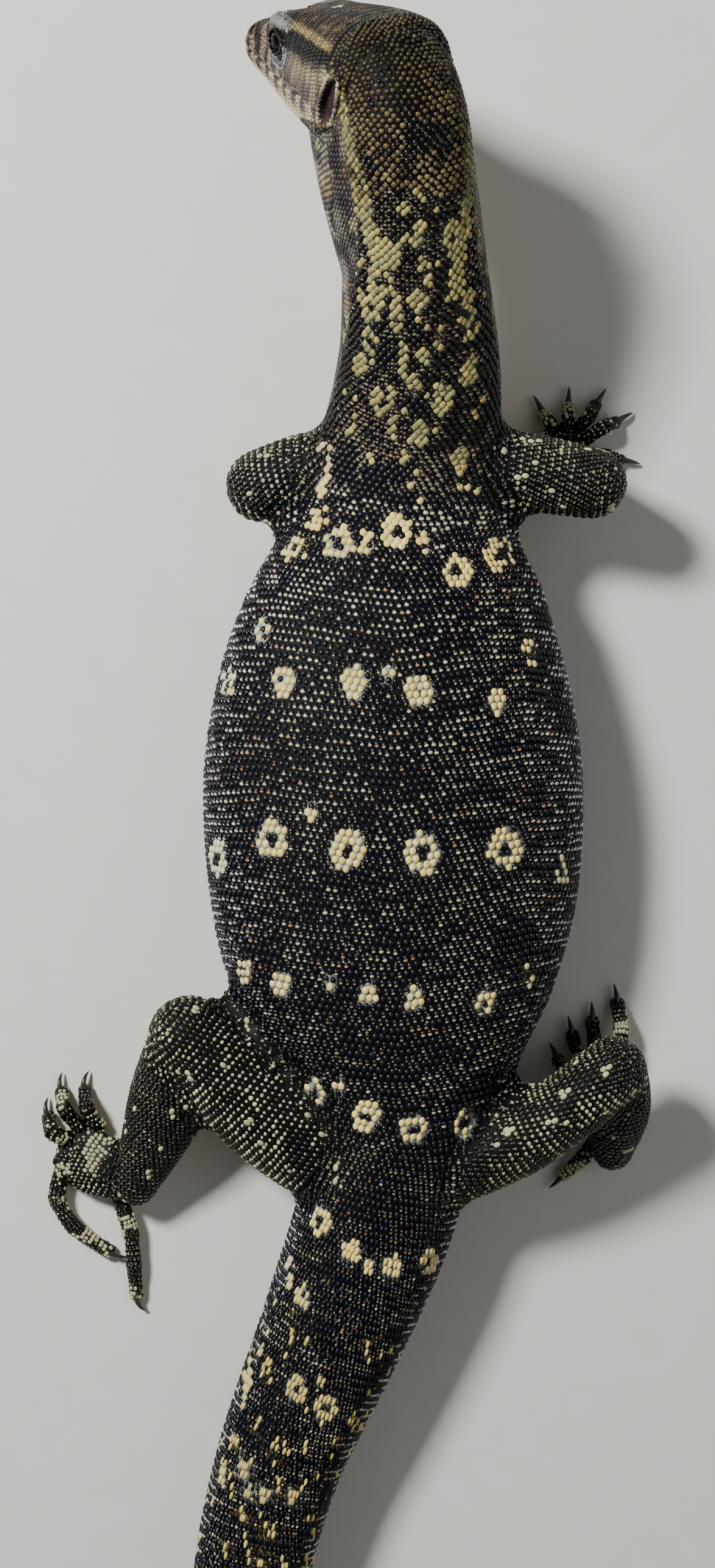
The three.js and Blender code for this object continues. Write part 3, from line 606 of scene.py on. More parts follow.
def eased(points, edges, rounds):
    """Points smoothed without shrinking: each moves 0.5 of the way towards the mean of its
    neighbours and then slightly further, 0.53, away from it, over and over."""
    count = len(points)
    ends = np.concatenate([edges, edges[:, ::-1]])
    degree = np.maximum(np.bincount(ends[:, 0], minlength=count), 1)[:, None]
    for share in [0.5, -0.53] * rounds:
        total = np.stack([np.bincount(ends[:, 0], points[ends[:, 1], k], count) for k in range(3)], 1)
        points = points + share * (total / degree - points)
    return points


def body_index(y):
    """The body table's index where its centre line passes y."""
    u = np.linspace(0, len(BODY_STATIONS) - 1, 4001)
    return np.interp(-np.asarray(y, float), -blend_rows(BODY_STATIONS[:, 1:2], u)[:, 0], u)


def ring_grid(surface, along, sides, grow):
    """A grid of closed rings of a surface at each place along it."""
    angle = 2 * np.pi * (np.arange(sides) + 0.5) / sides
    return surface(along[:, None], angle[None, :], grow)


def plain_head(shrink):
    """The head's plain form as a closed tube in the frame, drawn in by shrink mm ahead of the
    jaw's corner, under the detailed head, and grown by FILLET behind the ear."""
    t = np.concatenate([np.linspace(1.2, 40, 44), np.linspace(41, HEAD_LENGTH - 0.1, 12)])[:, None]
    half = head_form(t, np.linspace(1, -1, 33)[None, :])
    ring = both_sides(half)
    middle = ring.mean(1, keepdims=True)
    out = unit(ring - middle)
    grow = -shrink + (FILLET + shrink) * smooth_step(33.0, 39.5, t)
    ring = ring + out * grow[..., None] / HEAD_SCALE
    back = np.clip((t - 44.0) / 3.8, 0, 1)
    ring[..., 1] -= back * FILLET / HEAD_SCALE
    return tube(from_head(ring))


def fleshed_core():
    """Neck, trunk, tail root, throat, limbs and palms with hollows between them filleted:
    all grown by FILLET, fused as voxels, smoothed, and drawn back in to the skin's depth. The
    trunk's end dives 3.2 mm into the tail that is fused on after it. A cup is pressed in at
    each ear, behind the one in the detailed head."""
    along = np.linspace(0, body_index(TAIL_SPLIT), 190)
    dive = 3.2 * smooth_step(body_index(TAIL_SPLIT + 9), along[-1], along)[:, None]
    parts = [tube(ring_grid(body_surface, along, 72, FILLET - dive)), plain_head(2.2 + FILLET)]
    ends = np.sin(np.linspace(-0.5, 0.0, 7)[:-1] * np.pi) * 0.995
    for rows in list(LIMBS.values()) + [foot["palm"] for foot in FEET.values()]:
        along = np.concatenate([ends, np.linspace(0, len(rows) - 1, 14), len(rows) - 1 - ends[::-1]])
        parts.append(tube(ring_grid(partial(limb_surface, rows), along, 30, FILLET)))
    core = new_piece("skin", *joined(parts))
    remesh = core.modifiers.new("fuse", "REMESH")
    remesh.mode = "VOXEL"
    remesh.voxel_size = VOXEL * MM
    remesh.use_smooth_shade = True
    applied(core)
    edges = values_of(core.data.edges, "vertices", 2, np.int32)
    points = eased(read_points(core.data), edges, 9)
    write_points(core.data, points)
    points = points - read_normals(core.data) * (FILLET + SKIN_DEPTH)
    points = eased(points, edges, 3)
    right_side = on_right(points)
    cup = smooth_step(1.5, 1.0, ear_radius(right_side)) * smooth_step(7, 9, right_side[:, 0])
    inward = -HEAD_AXES[:, 0] * np.sign(to_head(points)[:, 0:1])
    points = points + inward * cup[:, None] * 1.9
    points[:, 2] = np.maximum(points[:, 2], SKIN_DEPTH)
    write_points(core.data, points)
    return core


def detailed_parts():
    """The head, the toes and the tail as closed tubes of their own, to be fused with the core."""
    head = both_sides(head_grid())
    head_points = from_head(head)
    back = np.gradient(head_points, axis=0)
    round_it = np.roll(head_points, -1, 1) - np.roll(head_points, 1, 1)
    deep = HEAD_SKIN_DEPTH * smooth_step(1.0, 3.0, -head[..., 1])
    parts = {"head": tube(head_points - unit(np.cross(back, round_it)) * deep[..., None])}
    along = np.linspace(body_index(TAIL_SPLIT + 12), len(BODY_STATIONS) - 1, 300)
    parts["tail"] = tube(ring_grid(body_surface, along, 28, -SKIN_DEPTH))
    for name, foot in FEET.items():
        for number, toe in enumerate(foot["toes"], 1):
            rows = toe_rows(*toe)
            last = len(rows) - 1
            beyond = last + np.array([0.35, 0.6, 0.8, 0.95])
            along = np.concatenate([[-0.9, -0.6], np.linspace(0, last, 16), beyond])
            parts[f"{name}_{number}"] = tube(ring_grid(partial(limb_surface, rows), along, 12, -0.2))
    return parts


def fused_skin():
    """One closed skin: the core united with the detailed head, tail and toes."""
    core = fleshed_core()
    others = bpy.data.collections.new("to fuse")
    for name, part in detailed_parts().items():
        piece = new_piece(f"fuse_{name}", *part)
        bpy.context.scene.collection.objects.unlink(piece)
        others.objects.link(piece)
    union = core.modifiers.new("unite", "BOOLEAN")
    union.operation = "UNION"
    union.solver = "MANIFOLD"
    union.operand_type = "COLLECTION"
    union.collection = others
    bpy.context.scene.collection.children.link(others)
    applied(core)
    for piece in list(others.objects):
        mesh = piece.data
        bpy.data.objects.remove(piece)
        bpy.data.meshes.remove(mesh)
    bpy.data.collections.remove(others)
    core.data.polygons.foreach_set("use_smooth", np.ones(len(core.data.polygons), bool))
    return core


skin = fused_skin()
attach(skin, "root")
flesh = [name for name in frame["nodes"] if not name.startswith(("eye", "claw"))]
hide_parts(*flesh)


def head_surface(t, angle):
    """The plain head in the frame at distance t back and angle round it, like body_surface:
    level = angle / 90 degrees on the right, and mirrored on the left."""
    t, angle = np.broadcast_arrays(t, angle)
    turn = (angle + np.pi / 2) % (2 * np.pi)
    left = turn > np.pi
    level = np.where(left, 2 * np.pi - turn, turn) / (np.pi / 2) - 1
    points = head_form(t, level)
    points[..., 0] = np.where(left, -points[..., 0], points[..., 0])
    return from_head(points)


def lattice(surface, reach, pitch):
    """Staggered places on a surface: (place along, angle, half pitch along, half across, row,
    column). Rows stand where the run of ds / pitch passes whole numbers, and columns at whole
    pitches of arc from the top line, moved half a pitch in every other row. pitch gives, at a
    place along, the pitches along and across and the lean of the rows: how far they run forward
    for each mm away from the top line. A row also waves by sin(arc / 5) / 4 mm, and each place
    strays by LATTICE_JITTER of a pitch. Where columns are wider apart than rows the scales are
    round, and so stand in slanting rows."""
    dense = np.linspace(*reach, 1200)
    spine = surface(dense[:, None], np.linspace(0, 2 * np.pi, 9)[None, :-1]).mean(1)
    step = np.linalg.norm(np.diff(spine, axis=0), axis=1)
    middles = (dense[1:] + dense[:-1]) / 2
    run = np.concatenate([[0], np.cumsum(step / pitch(middles)[0])])
    rows = np.interp(np.arange(0.3, run[-1], 1.0), run, dense)
    place_per_mm = np.interp(rows, middles, (dense[1] - dense[0]) / np.maximum(step, 1e-6))[:, None]
    along_pitch, across_pitch, lean = (np.broadcast_to(p, rows.shape)[:, None] for p in pitch(rows))
    rows = rows[:, None]
    angles = np.linspace(-np.pi / 2, np.pi * 1.5, 241)
    arc = run_along(surface(rows, angles[None, :]))
    arc = arc - arc[:, [120]]
    number = np.arange(len(rows))[:, None]
    most = int(np.ceil((arc[:, [-1]] / across_pitch).max())) + 1
    columns = np.arange(-most, most + 1)[None, :] + 0.5 * (number % 2)
    wanted = columns * across_pitch
    wanted = wanted + LATTICE_JITTER * across_pitch * rng.standard_normal(wanted.shape)
    kept = (wanted > arc[:, [0]] + 0.2) & (wanted < arc[:, [-1]] - 0.2)
    forward = lean * np.minimum(np.abs(wanted), 26) + 0.25 * np.sin(wanted / 5 + rows * 3)
    forward = forward + LATTICE_JITTER * across_pitch * rng.standard_normal(wanted.shape)
    along = np.clip(rows - forward * place_per_mm, *reach)
    even = ROUND_FULLNESS * np.sqrt(along_pitch * across_pitch)
    half_along, half_across = (
        np.where(across_pitch > along_pitch, even, own) / 2 for own in (along_pitch, across_pitch))
    angle = read_rows(wanted, arc, angles, 1000.0)
    fields = np.broadcast_arrays(along, angle, half_along, half_across, number, columns)
    return [field[kept] for field in fields]


def surface_frame(surface, along, angle, step_along, step_round, middle):
    """Places on a surface with their outward normals and unit directions back, by differences
    a step either side, turned to point away from the middle."""
    place = surface(along, angle)
    back = surface(along + step_along, angle) - surface(along - step_along, angle)
    round_it = surface(along, angle + step_round) - surface(along, angle - step_round)
    normal = unit(np.cross(round_it, back))
    return place, normal * np.sign(dot(normal, place - middle)), unit(back)


def new_bed(frames, size, height, cell, sides, keel=0.0):
    """A bed of scales: (places, outward normals, directions back), half sizes across and along,
    height, (column, row) on the unwrapped lattice, sides of each scale and keel."""
    place, normal, back = frames
    ones = np.ones(len(place))
    return {
        "place": place, "normal": normal, "back": back, "size": np.asarray(size) * ones[:, None],
        "height": height * ones, "keel": keel * ones, "sides": sides, "cell": np.stack(cell, 1) + 0.5,
    }


def scale_bed(surface, reach, pitch, height, keel=0.0, sides=8, zone=None):
    """A lattice on a surface as a bed of scales. zone tells which places to keep, by place
    along and angle."""
    fields = lattice(surface, reach, pitch)
    if zone is not None:
        kept = zone(fields[0], fields[1])
        fields = [field[kept] for field in fields]
    along, angle, half_along, half_across, row, column = fields
    frames = surface_frame(surface, along, angle, 0.02, 0.02, surface(along, angle + np.pi))
    cell = (column - column.min(), row - row.min())
    return new_bed(frames, np.stack([half_across, half_along], 1), height, cell, sides, keel)


def body_pitch(u):
    """Pitches along and across on the body in mm: 0.71 x 1.5 in the slanting rows of the nape,
    1.38 x 1.33 on the trunk, 1.55 x 0.86 at the tail's root and 1.3 x 0.6 at its tip. Rows lean
    forward by 0.12 on the trunk and neck."""
    y = blend_rows(BODY_STATIONS[:, 1:2], u)[:, 0]
    marks = [-455, -340, -200, -110, -90, -60, 45, 60, 72, 85, 95, 117, 126, 135]
    along = [1.3, 1.42, 1.5, 1.55, 1.5, 1.4, 1.38, 1.2, 1.02, 0.88, 0.82, 0.71, 0.6, 0.52]
    across = [0.6, 0.72, 0.82, 0.86, 0.95, 1.3, 1.33, 1.4, 1.52, 1.62, 1.64, 1.5, 1.28, 1.08]
    return np.interp(y, marks, along), np.interp(y, marks, across), 0.12 * smooth_step(-90, -60, y)


def throat_edge(y):
    """The angle from the back's midline, in degrees, where the neck's dark side band runs."""
    return np.interp(y, [50, 62, 84, 98.5, 108, 124, 132], [85, 76, 62, 42, 44, 74, 86])


def on_throat_side(u, angle):
    """True below the side band of the neck, where the skin is loose and its granules small."""
    y = blend_rows(BODY_STATIONS[:, 1:2], u)[:, 0]
    turn = np.degrees(np.abs((angle + np.pi / 2) % (2 * np.pi) - np.pi))
    return (turn > throat_edge(y) + 13) & (y > 60)


def even_pitch(along, across):
    """The same pitches everywhere, with rows that don't lean."""
    return lambda v: (along, across, 0.0)


def head_pitch(t):
    """Small scales on the head: 0.56 mm at the snout and 0.82 at the back."""
    size = np.interp(t, [0, 8, 20, 30, 38], [0.56, 0.6, 0.62, 0.68, 0.82])
    return size * 1.05, size * 0.96, 0.0


def level_at_height(t, height):
    """The level on the right of the head at which its form passes a height, by reading dense
    levels backwards."""
    level = np.linspace(-1, 1, 401)
    return read_rows(height[:, None], head_form(t[:, None], level)[..., 2], level, 100.0)[:, 0]


def head_row(t, height, size, thickness):
    """A row of larger scales on both sides of the head at given distances back and heights."""
    level = level_at_height(t, height)
    angle = np.concatenate([level * np.pi / 2, np.pi - level * np.pi / 2])
    count = len(angle)
    row, column = np.divmod(np.arange(count), len(t))
    t = np.tile(t, 2)
    middle = from_head(np.stack([0 * t, -t, 0 * t], 1))
    frames = surface_frame(head_surface, t, angle, 0.05, 0.04, middle)
    return new_bed(frames, size, thickness, (column, row), 8)


def lid_ring(away, count, size):
    """Granules on both eyes' lids along a line that keeps a distance from the opening: the
    opening's half lengths are stretched by that distance, on the ball of the lids."""
    angle = 2 * np.pi * np.arange(count) / count
    along = np.cos(angle) * (EYE_OPENING[0] + away)
    up = np.sin(angle) * (EYE_OPENING[1] + away)
    out = np.sqrt(np.maximum(LID_RADIUS ** 2 - np.hypot(along, up) ** 2, 0.3))
    local = np.stack([out, along, up], 1)
    trend = np.stack([0 * angle, -np.sin(angle), np.cos(angle)], 1)
    mirror = np.repeat([[1, 1, 1], [-1, 1, 1]], count, 0)
    local, trend = np.tile(local, (2, 1)), np.tile(trend, (2, 1))
    place = from_head((EYE + local) * mirror)
    normal, back = ((vectors * mirror) @ HEAD_AXES.T for vectors in (unit(local), trend))
    row, column = np.divmod(np.arange(2 * count), count)
    return new_bed((place, normal, back), [size * 0.8, size], 0.14, (column, row), 6)


def all_beds():
    """Every bed of scales, those that keep their places first: lids, lips and brows, the head,
    the body, the limbs, the palms and the toes."""
    lips = np.arange(1.8, MOUTH_LENGTH, 0.98)
    brow = np.arange(13.6, 22.4, 0.52)
    ridge = np.interp(brow, [12, 16, 20, 23], [6.4, 7.8, 8.1, 7.8])
    fine = even_pitch(0.86, 0.76)
    nape, root, tip = 0.0, body_index(-250.0), len(BODY_STATIONS) - 1.02
    beds = [
        ("head", lid_ring(0.3, 30, 0.23)),
        ("head", lid_ring(0.74, 32, 0.26)),
        ("head", head_row(lips, mouth_height(lips) + 0.62, [0.44, 0.5], 0.15)),
        ("head", head_row(lips + 0.5, mouth_height(lips + 0.5) - 0.6, [0.42, 0.5], 0.14)),
        ("head", head_row(brow, ridge + 0.35, [1.25, 0.27], 0.2)),
        ("head", scale_bed(head_surface, (1.2, 38.4), head_pitch, 0.12, sides=6)),
    ]
    above_throat = lambda u, angle: ~on_throat_side(u, angle)
    trunk = scale_bed(body_surface, (nape, root), body_pitch, 0.4, zone=above_throat)
    trunk["keel"] = 0.7 * smooth_step(-70, -95, trunk["place"][:, 1])
    neck_reach = (nape, body_index(60.0))
    beds += [
        ("trunk", trunk),
        ("trunk", scale_bed(body_surface, neck_reach, fine, 0.16, sides=6, zone=on_throat_side)),
        ("tail", scale_bed(body_surface, (root, tip), body_pitch, 0.26, keel=0.8, sides=6)),
    ]

    def add_limb(rows, start, spare, *rest, **more):
        reach = (start, len(rows) - spare)
        beds.append(("limbs", scale_bed(partial(limb_surface, rows), reach, *rest, **more)))

    for name, rows in LIMBS.items():
        if name == "throat":
            add_limb(rows, -0.9, 0.12, fine, 0.16)
        elif name.startswith(("thigh", "upper")):
            add_limb(rows, -0.9, 0.12, even_pitch(1.36, 1.14), 0.34)
        else:
            add_limb(rows, -0.9, 0.12, even_pitch(1.28, 1.06), 0.34)
    for foot in FEET.values():
        add_limb(foot["palm"], -0.9, 0.15, even_pitch(1.05, 0.95), 0.24, sides=6)
        for toe in foot["toes"]:
            add_limb(toe_rows(*toe), 0.1, 0.4, even_pitch(0.92, 0.86), 0.2, sides=6)
    return beds


def bare_skin(points):
    """True where no scale grows: in the ear, on the lids' inner edge, along the lips' crease and
    in the nostrils."""
    own = on_right(points)
    side, t = own[:, 0], -own[:, 1]
    bare = (side > 8.5) & (ear_radius(own) < 1.1)
    bare |= (np.linalg.norm(own - EYE, axis=1) < LID_RADIUS + 0.6) & (almond(own) < 0.14)
    by_lips = (t < MOUTH_LENGTH) & (t > -1) & (side < 14) & (np.abs(own[:, 2]) < 4)
    bare |= by_lips & (np.abs(lip_distance(own)) < 0.3) & (np.linalg.norm(own - [0, -16, 0], axis=1) < 19)
    nostril = np.linalg.norm((own - NOSTRIL)[:, 1:], axis=1)
    return bare | (nostril < np.where(np.abs(side - 3.5) < 2, 0.9, -1))


def chunks(indexes, size=600):
    """Indexes in parts of about a size, so that no table of distances grows too large."""
    return np.array_split(indexes, max(1, len(indexes) // size))


def nearest_gap(points, size, others, other_sizes):
    """For each point, the least of its distances to the others over the sum of the two sizes.
    Points go in order of y, and only others within 2 mm of that y are measured."""
    sizes = np.broadcast_to(size, len(points)).astype(points.dtype)
    order = np.argsort(others[:, 1])
    others, other_sizes = others[order], np.broadcast_to(other_sizes, len(others))[order]
    least = np.full(len(points), np.inf)
    for part in chunks(np.argsort(points[:, 1])):
        if len(part) and len(others):
            here = points[part]
            low, high = np.searchsorted(others[:, 1], [here[0, 1] - 2, here[-1, 1] + 2])
            if high > low:
                gap = np.linalg.norm(here[:, None] - others[None, low:high], axis=-1)
                least[part] = (gap / (sizes[part][:, None] + other_sizes[None, low:high])).min(1)
    return least


def seated(beds):
    """The beds' scales on the skin. Points held SEAT_REACH above the plain forms are wrapped to
    the nearest skin, and each scale keeps its place if the skin there faces it from about that
    far and no earlier scale is nearer than CROWDING of their half widths' sum."""
    hovering = np.concatenate([bed["place"] + bed["normal"] * SEAT_REACH for _, bed in beds])
    seeds = new_piece("seeds", hovering, NO_FACES, NO_FACES)
    wrap = seeds.modifiers.new("seat", "SHRINKWRAP")
    wrap.target = skin
    wrap.wrap_method = "NEAREST_SURFACEPOINT"
    graph = bpy.context.evaluated_depsgraph_get()
    seats = read_points(seeds.evaluated_get(graph).data)
    bpy.data.objects.remove(seeds)
    splits = np.cumsum([len(bed["place"]) for _, bed in beds])[:-1]
    done, done_size = np.zeros((0, 3)), np.zeros(0)
    for (_, bed), seat, reach in zip(beds, np.split(seats, splits), np.split(hovering - seats, splits)):
        far = np.linalg.norm(reach, axis=1)
        facing = dot(unit(reach), bed["normal"])[:, 0]
        kept = (far > SEAT_NEAREST) & (far < SEAT_FARTHEST) & (facing > SEAT_FACING)
        width = bed["size"].min(1)
        kept[kept] = nearest_gap(seat[kept], width[kept], done, done_size) > CROWDING
        kept &= ~bare_skin(seat)
        bed["seat"] = seat
        bed["normal"] = unit(unit(reach) * 0.65 + bed["normal"] * 0.35)
        bed["back"] = laid_flat(bed["back"], bed["normal"])
        for key in ("seat", "normal", "back", "size", "height", "keel", "cell"):
            bed[key] = bed[key][kept]
        done = np.concatenate([done, bed["seat"]])
        done_size = np.concatenate([done_size, width[kept]])
    return beds + [("limbs", granules(done, done_size))]


def granules(done, done_size):
    """Small granules on skin that no bed has reached, as in the folds where limbs meet the body.
    The skin's points and the middles of its faces are tried by a random priority, and one is
    taken if it is clear of every scale and of every trial with a higher priority. On the
    unwrap they stand in rows of 100, by their place along the body and angle round it."""
    faces = skin.data.polygons
    points = np.concatenate([read_points(skin.data), values_of(faces, "center") / MM])
    normals = np.concatenate([read_normals(skin.data), values_of(faces, "normal")])
    trial = np.flatnonzero((points[:, 2] > 0.4) & ~bare_skin(points))
    trial = trial[np.argsort(points[trial, 1])]
    light = [values.astype(np.float32) for values in (points[trial], done, done_size)]
    trial = trial[nearest_gap(light[0], GRANULE, *light[1:]) > CROWDING]
    priority = rng.random(len(trial))
    taken = np.zeros(len(trial), bool)
    index = np.arange(len(trial))
    for _ in range(4):
        for part in chunks(index):
            if not len(part):
                continue
            here = points[trial[part]]
            y = points[trial[index], 1]
            near = index[(y > here[0, 1] - 2) & (y < here[-1, 1] + 2)]
            gap = np.linalg.norm(here[:, None] - points[trial[near]][None], axis=-1)
            rival = (gap < GRANULE_GAP) & (priority[near][None] > priority[part][:, None])
            taken[part] |= ~rival.any(1)
        index = index[nearest_gap(points[trial[index]], 0.5, points[trial[taken]], 0.5) > GRANULE_GAP]
    seat, normal = points[trial[taken]], normals[trial[taken]]
    _, near = nearest_part(seat)
    row, side, upright = BODY_FRAMES
    back = laid_flat(-np.cross(upright[near], side[near]), normal, 1e-6)
    offset = seat - row[near, :3]
    turn = np.arctan2(dot(offset, side[near]), dot(offset, upright[near]))[:, 0]
    rank = np.arange(len(seat))
    row_number, column = np.empty_like(rank), np.empty_like(rank)
    row_number[np.argsort(near)] = rank // 100
    column[np.lexsort((turn, row_number))] = rank % 100
    bed = new_bed((seat, normal, back), [GRANULE, GRANULE], 0.17, (column, row_number), 6)
    return bed | {"seat": seat}


def scale_form(sides):
    """One scale in its own space, x across, y back and z up, each from -1 to 1: a rim, a
    shoulder ring at 0.8 of it and a top a little towards the back. Returns its points, quads
    and triangles, the last ones closing it below."""
    angle = 2 * np.pi * np.arange(sides) / sides
    rim = np.stack([np.sin(angle), np.cos(angle), 0 * angle], 1)
    points = np.concatenate([rim, rim * [0.8, 0.8, 0] + [0, 0.03, 0.62], [[0, 0.12, 1]]])
    here = np.arange(sides)
    after = (here + 1) % sides
    quads = np.stack([here, here + sides, after + sides, after], 1)
    tops = np.stack([here + sides, 0 * here + 2 * sides, after + sides], 1)
    below = np.stack([0 * here[2:], here[1:-1], here[2:]], 1)
    return points, quads, np.concatenate([tops, below])


def paint_points(mesh, layer, colours):
    """A colour for each point as a named attribute that the materials read."""
    values = np.concatenate([colours, np.ones((len(colours), 1))], 1).astype(np.float32)
    mesh.color_attributes.new(layer, "FLOAT_COLOR", "POINT").data.foreach_set("color", values.ravel())


def scale_mesh(name, bed, colours):
    """Scales of one bed as one mesh: place = seat + across x + back y + normal z, with keeled
    ones raised along their middle, rims sunk 0.14 mm and backs tilted up a little."""
    ground, spot, spot_size = colours
    form, quads, triangles = scale_form(bed["sides"])
    count, corners = len(bed["seat"]), len(form)
    across = np.cross(bed["back"], bed["normal"])
    x, y, z = form.T
    keel = bed["keel"][:, None] * (z > 0.1) * (0.3 * (np.abs(x) < 0.2) - 0.22 * (np.abs(x) > 0.5) * z)
    rise = (z + keel) * bed["height"][:, None] * (1 + 0.25 * y) - 0.14 * (z < 0.1)
    size = bed["size"] * (0.97 + 0.04 * rng.standard_normal((count, 1)) + 0.07 * (spot_size[:, None] > 2))
    points = bed["seat"][:, None] + across[:, None] * (x * size[:, :1])[..., None]
    points = points + bed["back"][:, None] * (y * size[:, 1:] * SCALE_LENGTH)[..., None]
    points = points + bed["normal"][:, None] * rise[..., None]
    points[..., 2] = np.maximum(points[..., 2], 0.0)
    start = corners * np.arange(count)[:, None, None]
    quads, triangles = (quads + start).reshape(-1, 4), (triangles + start).reshape(-1, 3)
    piece = new_piece(name, points.reshape(-1, 3), quads, triangles)
    mesh = piece.data
    vertex = values_of(mesh.loops, "vertex_index", 1, np.int32)[:, 0]
    own = np.tile(form[:, :2], (count, 1))
    bake = (bed["unwrap"][:, None] + form[None, :, :2] * UV_RADIUS).reshape(-1, 2)
    for layer, values in (("OFBake", bake), ("own", own * 0.5 + 0.5)):
        mesh.uv_layers.new(name=layer).data.foreach_set("uv", values[vertex].astype(np.float32).ravel())
    paint_points(mesh, "ground", np.repeat(ground, corners, 0))
    paint_points(mesh, "spot", np.repeat(spot, corners, 0))
    sizes = np.repeat(spot_size, corners).astype(np.float32)
    mesh.attributes.new("spot_size", "FLOAT", "POINT").data.foreach_set("value", sizes)
    return piece


def linear(hex_colour):
    """An sRGB hex colour as linear light: ((v + 0.055) / 1.055)^2.4, or v / 12.92 when dark."""
    value = np.array([int(hex_colour[k:k + 2], 16) / 255 for k in (1, 3, 5)])
    return np.where(value > 0.04045, ((value + 0.055) / 1.055) ** 2.4, value / 12.92)


def cloud(points, size, seed):
    """Smooth noise from 0 to 1 with cells of the given size in mm: hashed values at the corners
    of a lattice, blended by 3s^2 - 2s^3 on each axis."""
    scaled = points / np.asarray(size, float)
    corner = np.floor(scaled).astype(np.int64)
    share = scaled - corner
    share = share * share * (3 - 2 * share)
    total = np.zeros(len(points))
    for step in np.ndindex(2, 2, 2):
        key = np.bitwise_xor.reduce((corner + step) * [73856093, 19349663, 83492791], axis=1)
        key = (key ^ (seed * 2654435761)) & 0xFFFFFFFF
        key = (key * 1103515245 + 12345) & 0xFFFFFFFF
        key = ((key >> 13) ^ key) * 1274126177 & 0xFFFFFFFF
        total += (key & 0xFFFF) / 65535 * np.abs(1 - np.array(step) - share).prod(1)
    return total


def mixed(first, second, share):
    """Colours between two, each in sRGB hex or linear light, by a share for each point."""
    first, second = (linear(colour) if isinstance(colour, str) else colour for colour in (first, second))
    return first + (second - first) * np.clip(share, 0, 1)[:, None]


def layered(paint, *coats):
    """Coats of colour laid over each other in turn, each by its own share."""
    for colour, share in coats:
        paint = mixed(paint, colour, share)
    return paint


def pick(mask, colour, other):
    """The first colour where the mask is true, and the other elsewhere."""
    return np.where(mask[:, None], colour, other)


def covered(coat, mask, colour, ground_share, skin_share):
    """A coat, which is scale ground, spot, spot size and the skin between, where masked scales
    have one colour all over, and their ground and the skin beside them a share of it. The
    skin's share, below 1, is painted shade in the gaps between scales."""
    ground, spot, size, between = coat
    return (pick(mask, colour * ground_share, ground), pick(mask, colour, spot),
            np.where(mask, WHOLE, size), pick(mask, colour * skin_share, between))


def head_edge(z):
    """How far back the head's own scales reach at a height: to the nape above the ear, and
    past the ear below."""
    return 37.4 + 3.4 * smooth_step(5.4, 4.2, z)


def nearest_part(points):
    """For each point: the part it belongs to (body, head, limb, foot or throat) and the body's
    centre line sample nearest to it, both by distance over the part's own thickness."""
    row = BODY_FRAMES[0]
    t = np.arange(1.0, 38, 1.0)
    half, crown, chin = head_outline(t)
    middle = from_head(np.stack([0 * t, -t, (crown + chin) / 2], 1))
    parts = [(row[:, :3], row[:, 3:6].mean(1), BODY), (middle, half * 1.08, HEAD)]

    def add(rows, count, kind, columns=slice(3, None)):
        spine = blend_rows(rows, np.linspace(0, len(rows) - 1, count))
        parts.append((spine[:, :3], spine[:, columns].mean(1), kind))

    for name, rows in LIMBS.items():
        add(rows, 16, THROAT if name == "throat" else LIMB)
    for foot in FEET.values():
        add(foot["palm"], 8, FOOT)
        for toe in foot["toes"]:
            add(toe_rows(*toe), 14, FOOT, [3])
    spots, radii = (np.concatenate([part[k] for part in parts]).astype(np.float32) for k in (0, 1))
    kinds = np.repeat([part[2] for part in parts], [len(part[0]) for part in parts])
    kind, near = np.empty((2, len(points)), int)
    for part in chunks(np.arange(len(points)), 8000):
        here = points[part].astype(np.float32)
        gap = (here ** 2).sum(1)[:, None] + (spots ** 2).sum(1)[None] - 2 * here @ spots.T
        score = np.sqrt(np.maximum(gap, 0)) / radii[None]
        kind[part] = kinds[score.argmin(1)]
        near[part] = score[:, :len(row)].argmin(1)
    own = to_head(points)
    t, z = -own[:, 1], own[:, 2]
    by_head = (kind <= HEAD) & (t < 46) & (np.hypot(own[:, 0], z) < 19)
    kind[by_head] = np.where(t < head_edge(z), HEAD, BODY)[by_head]
    return kind, near


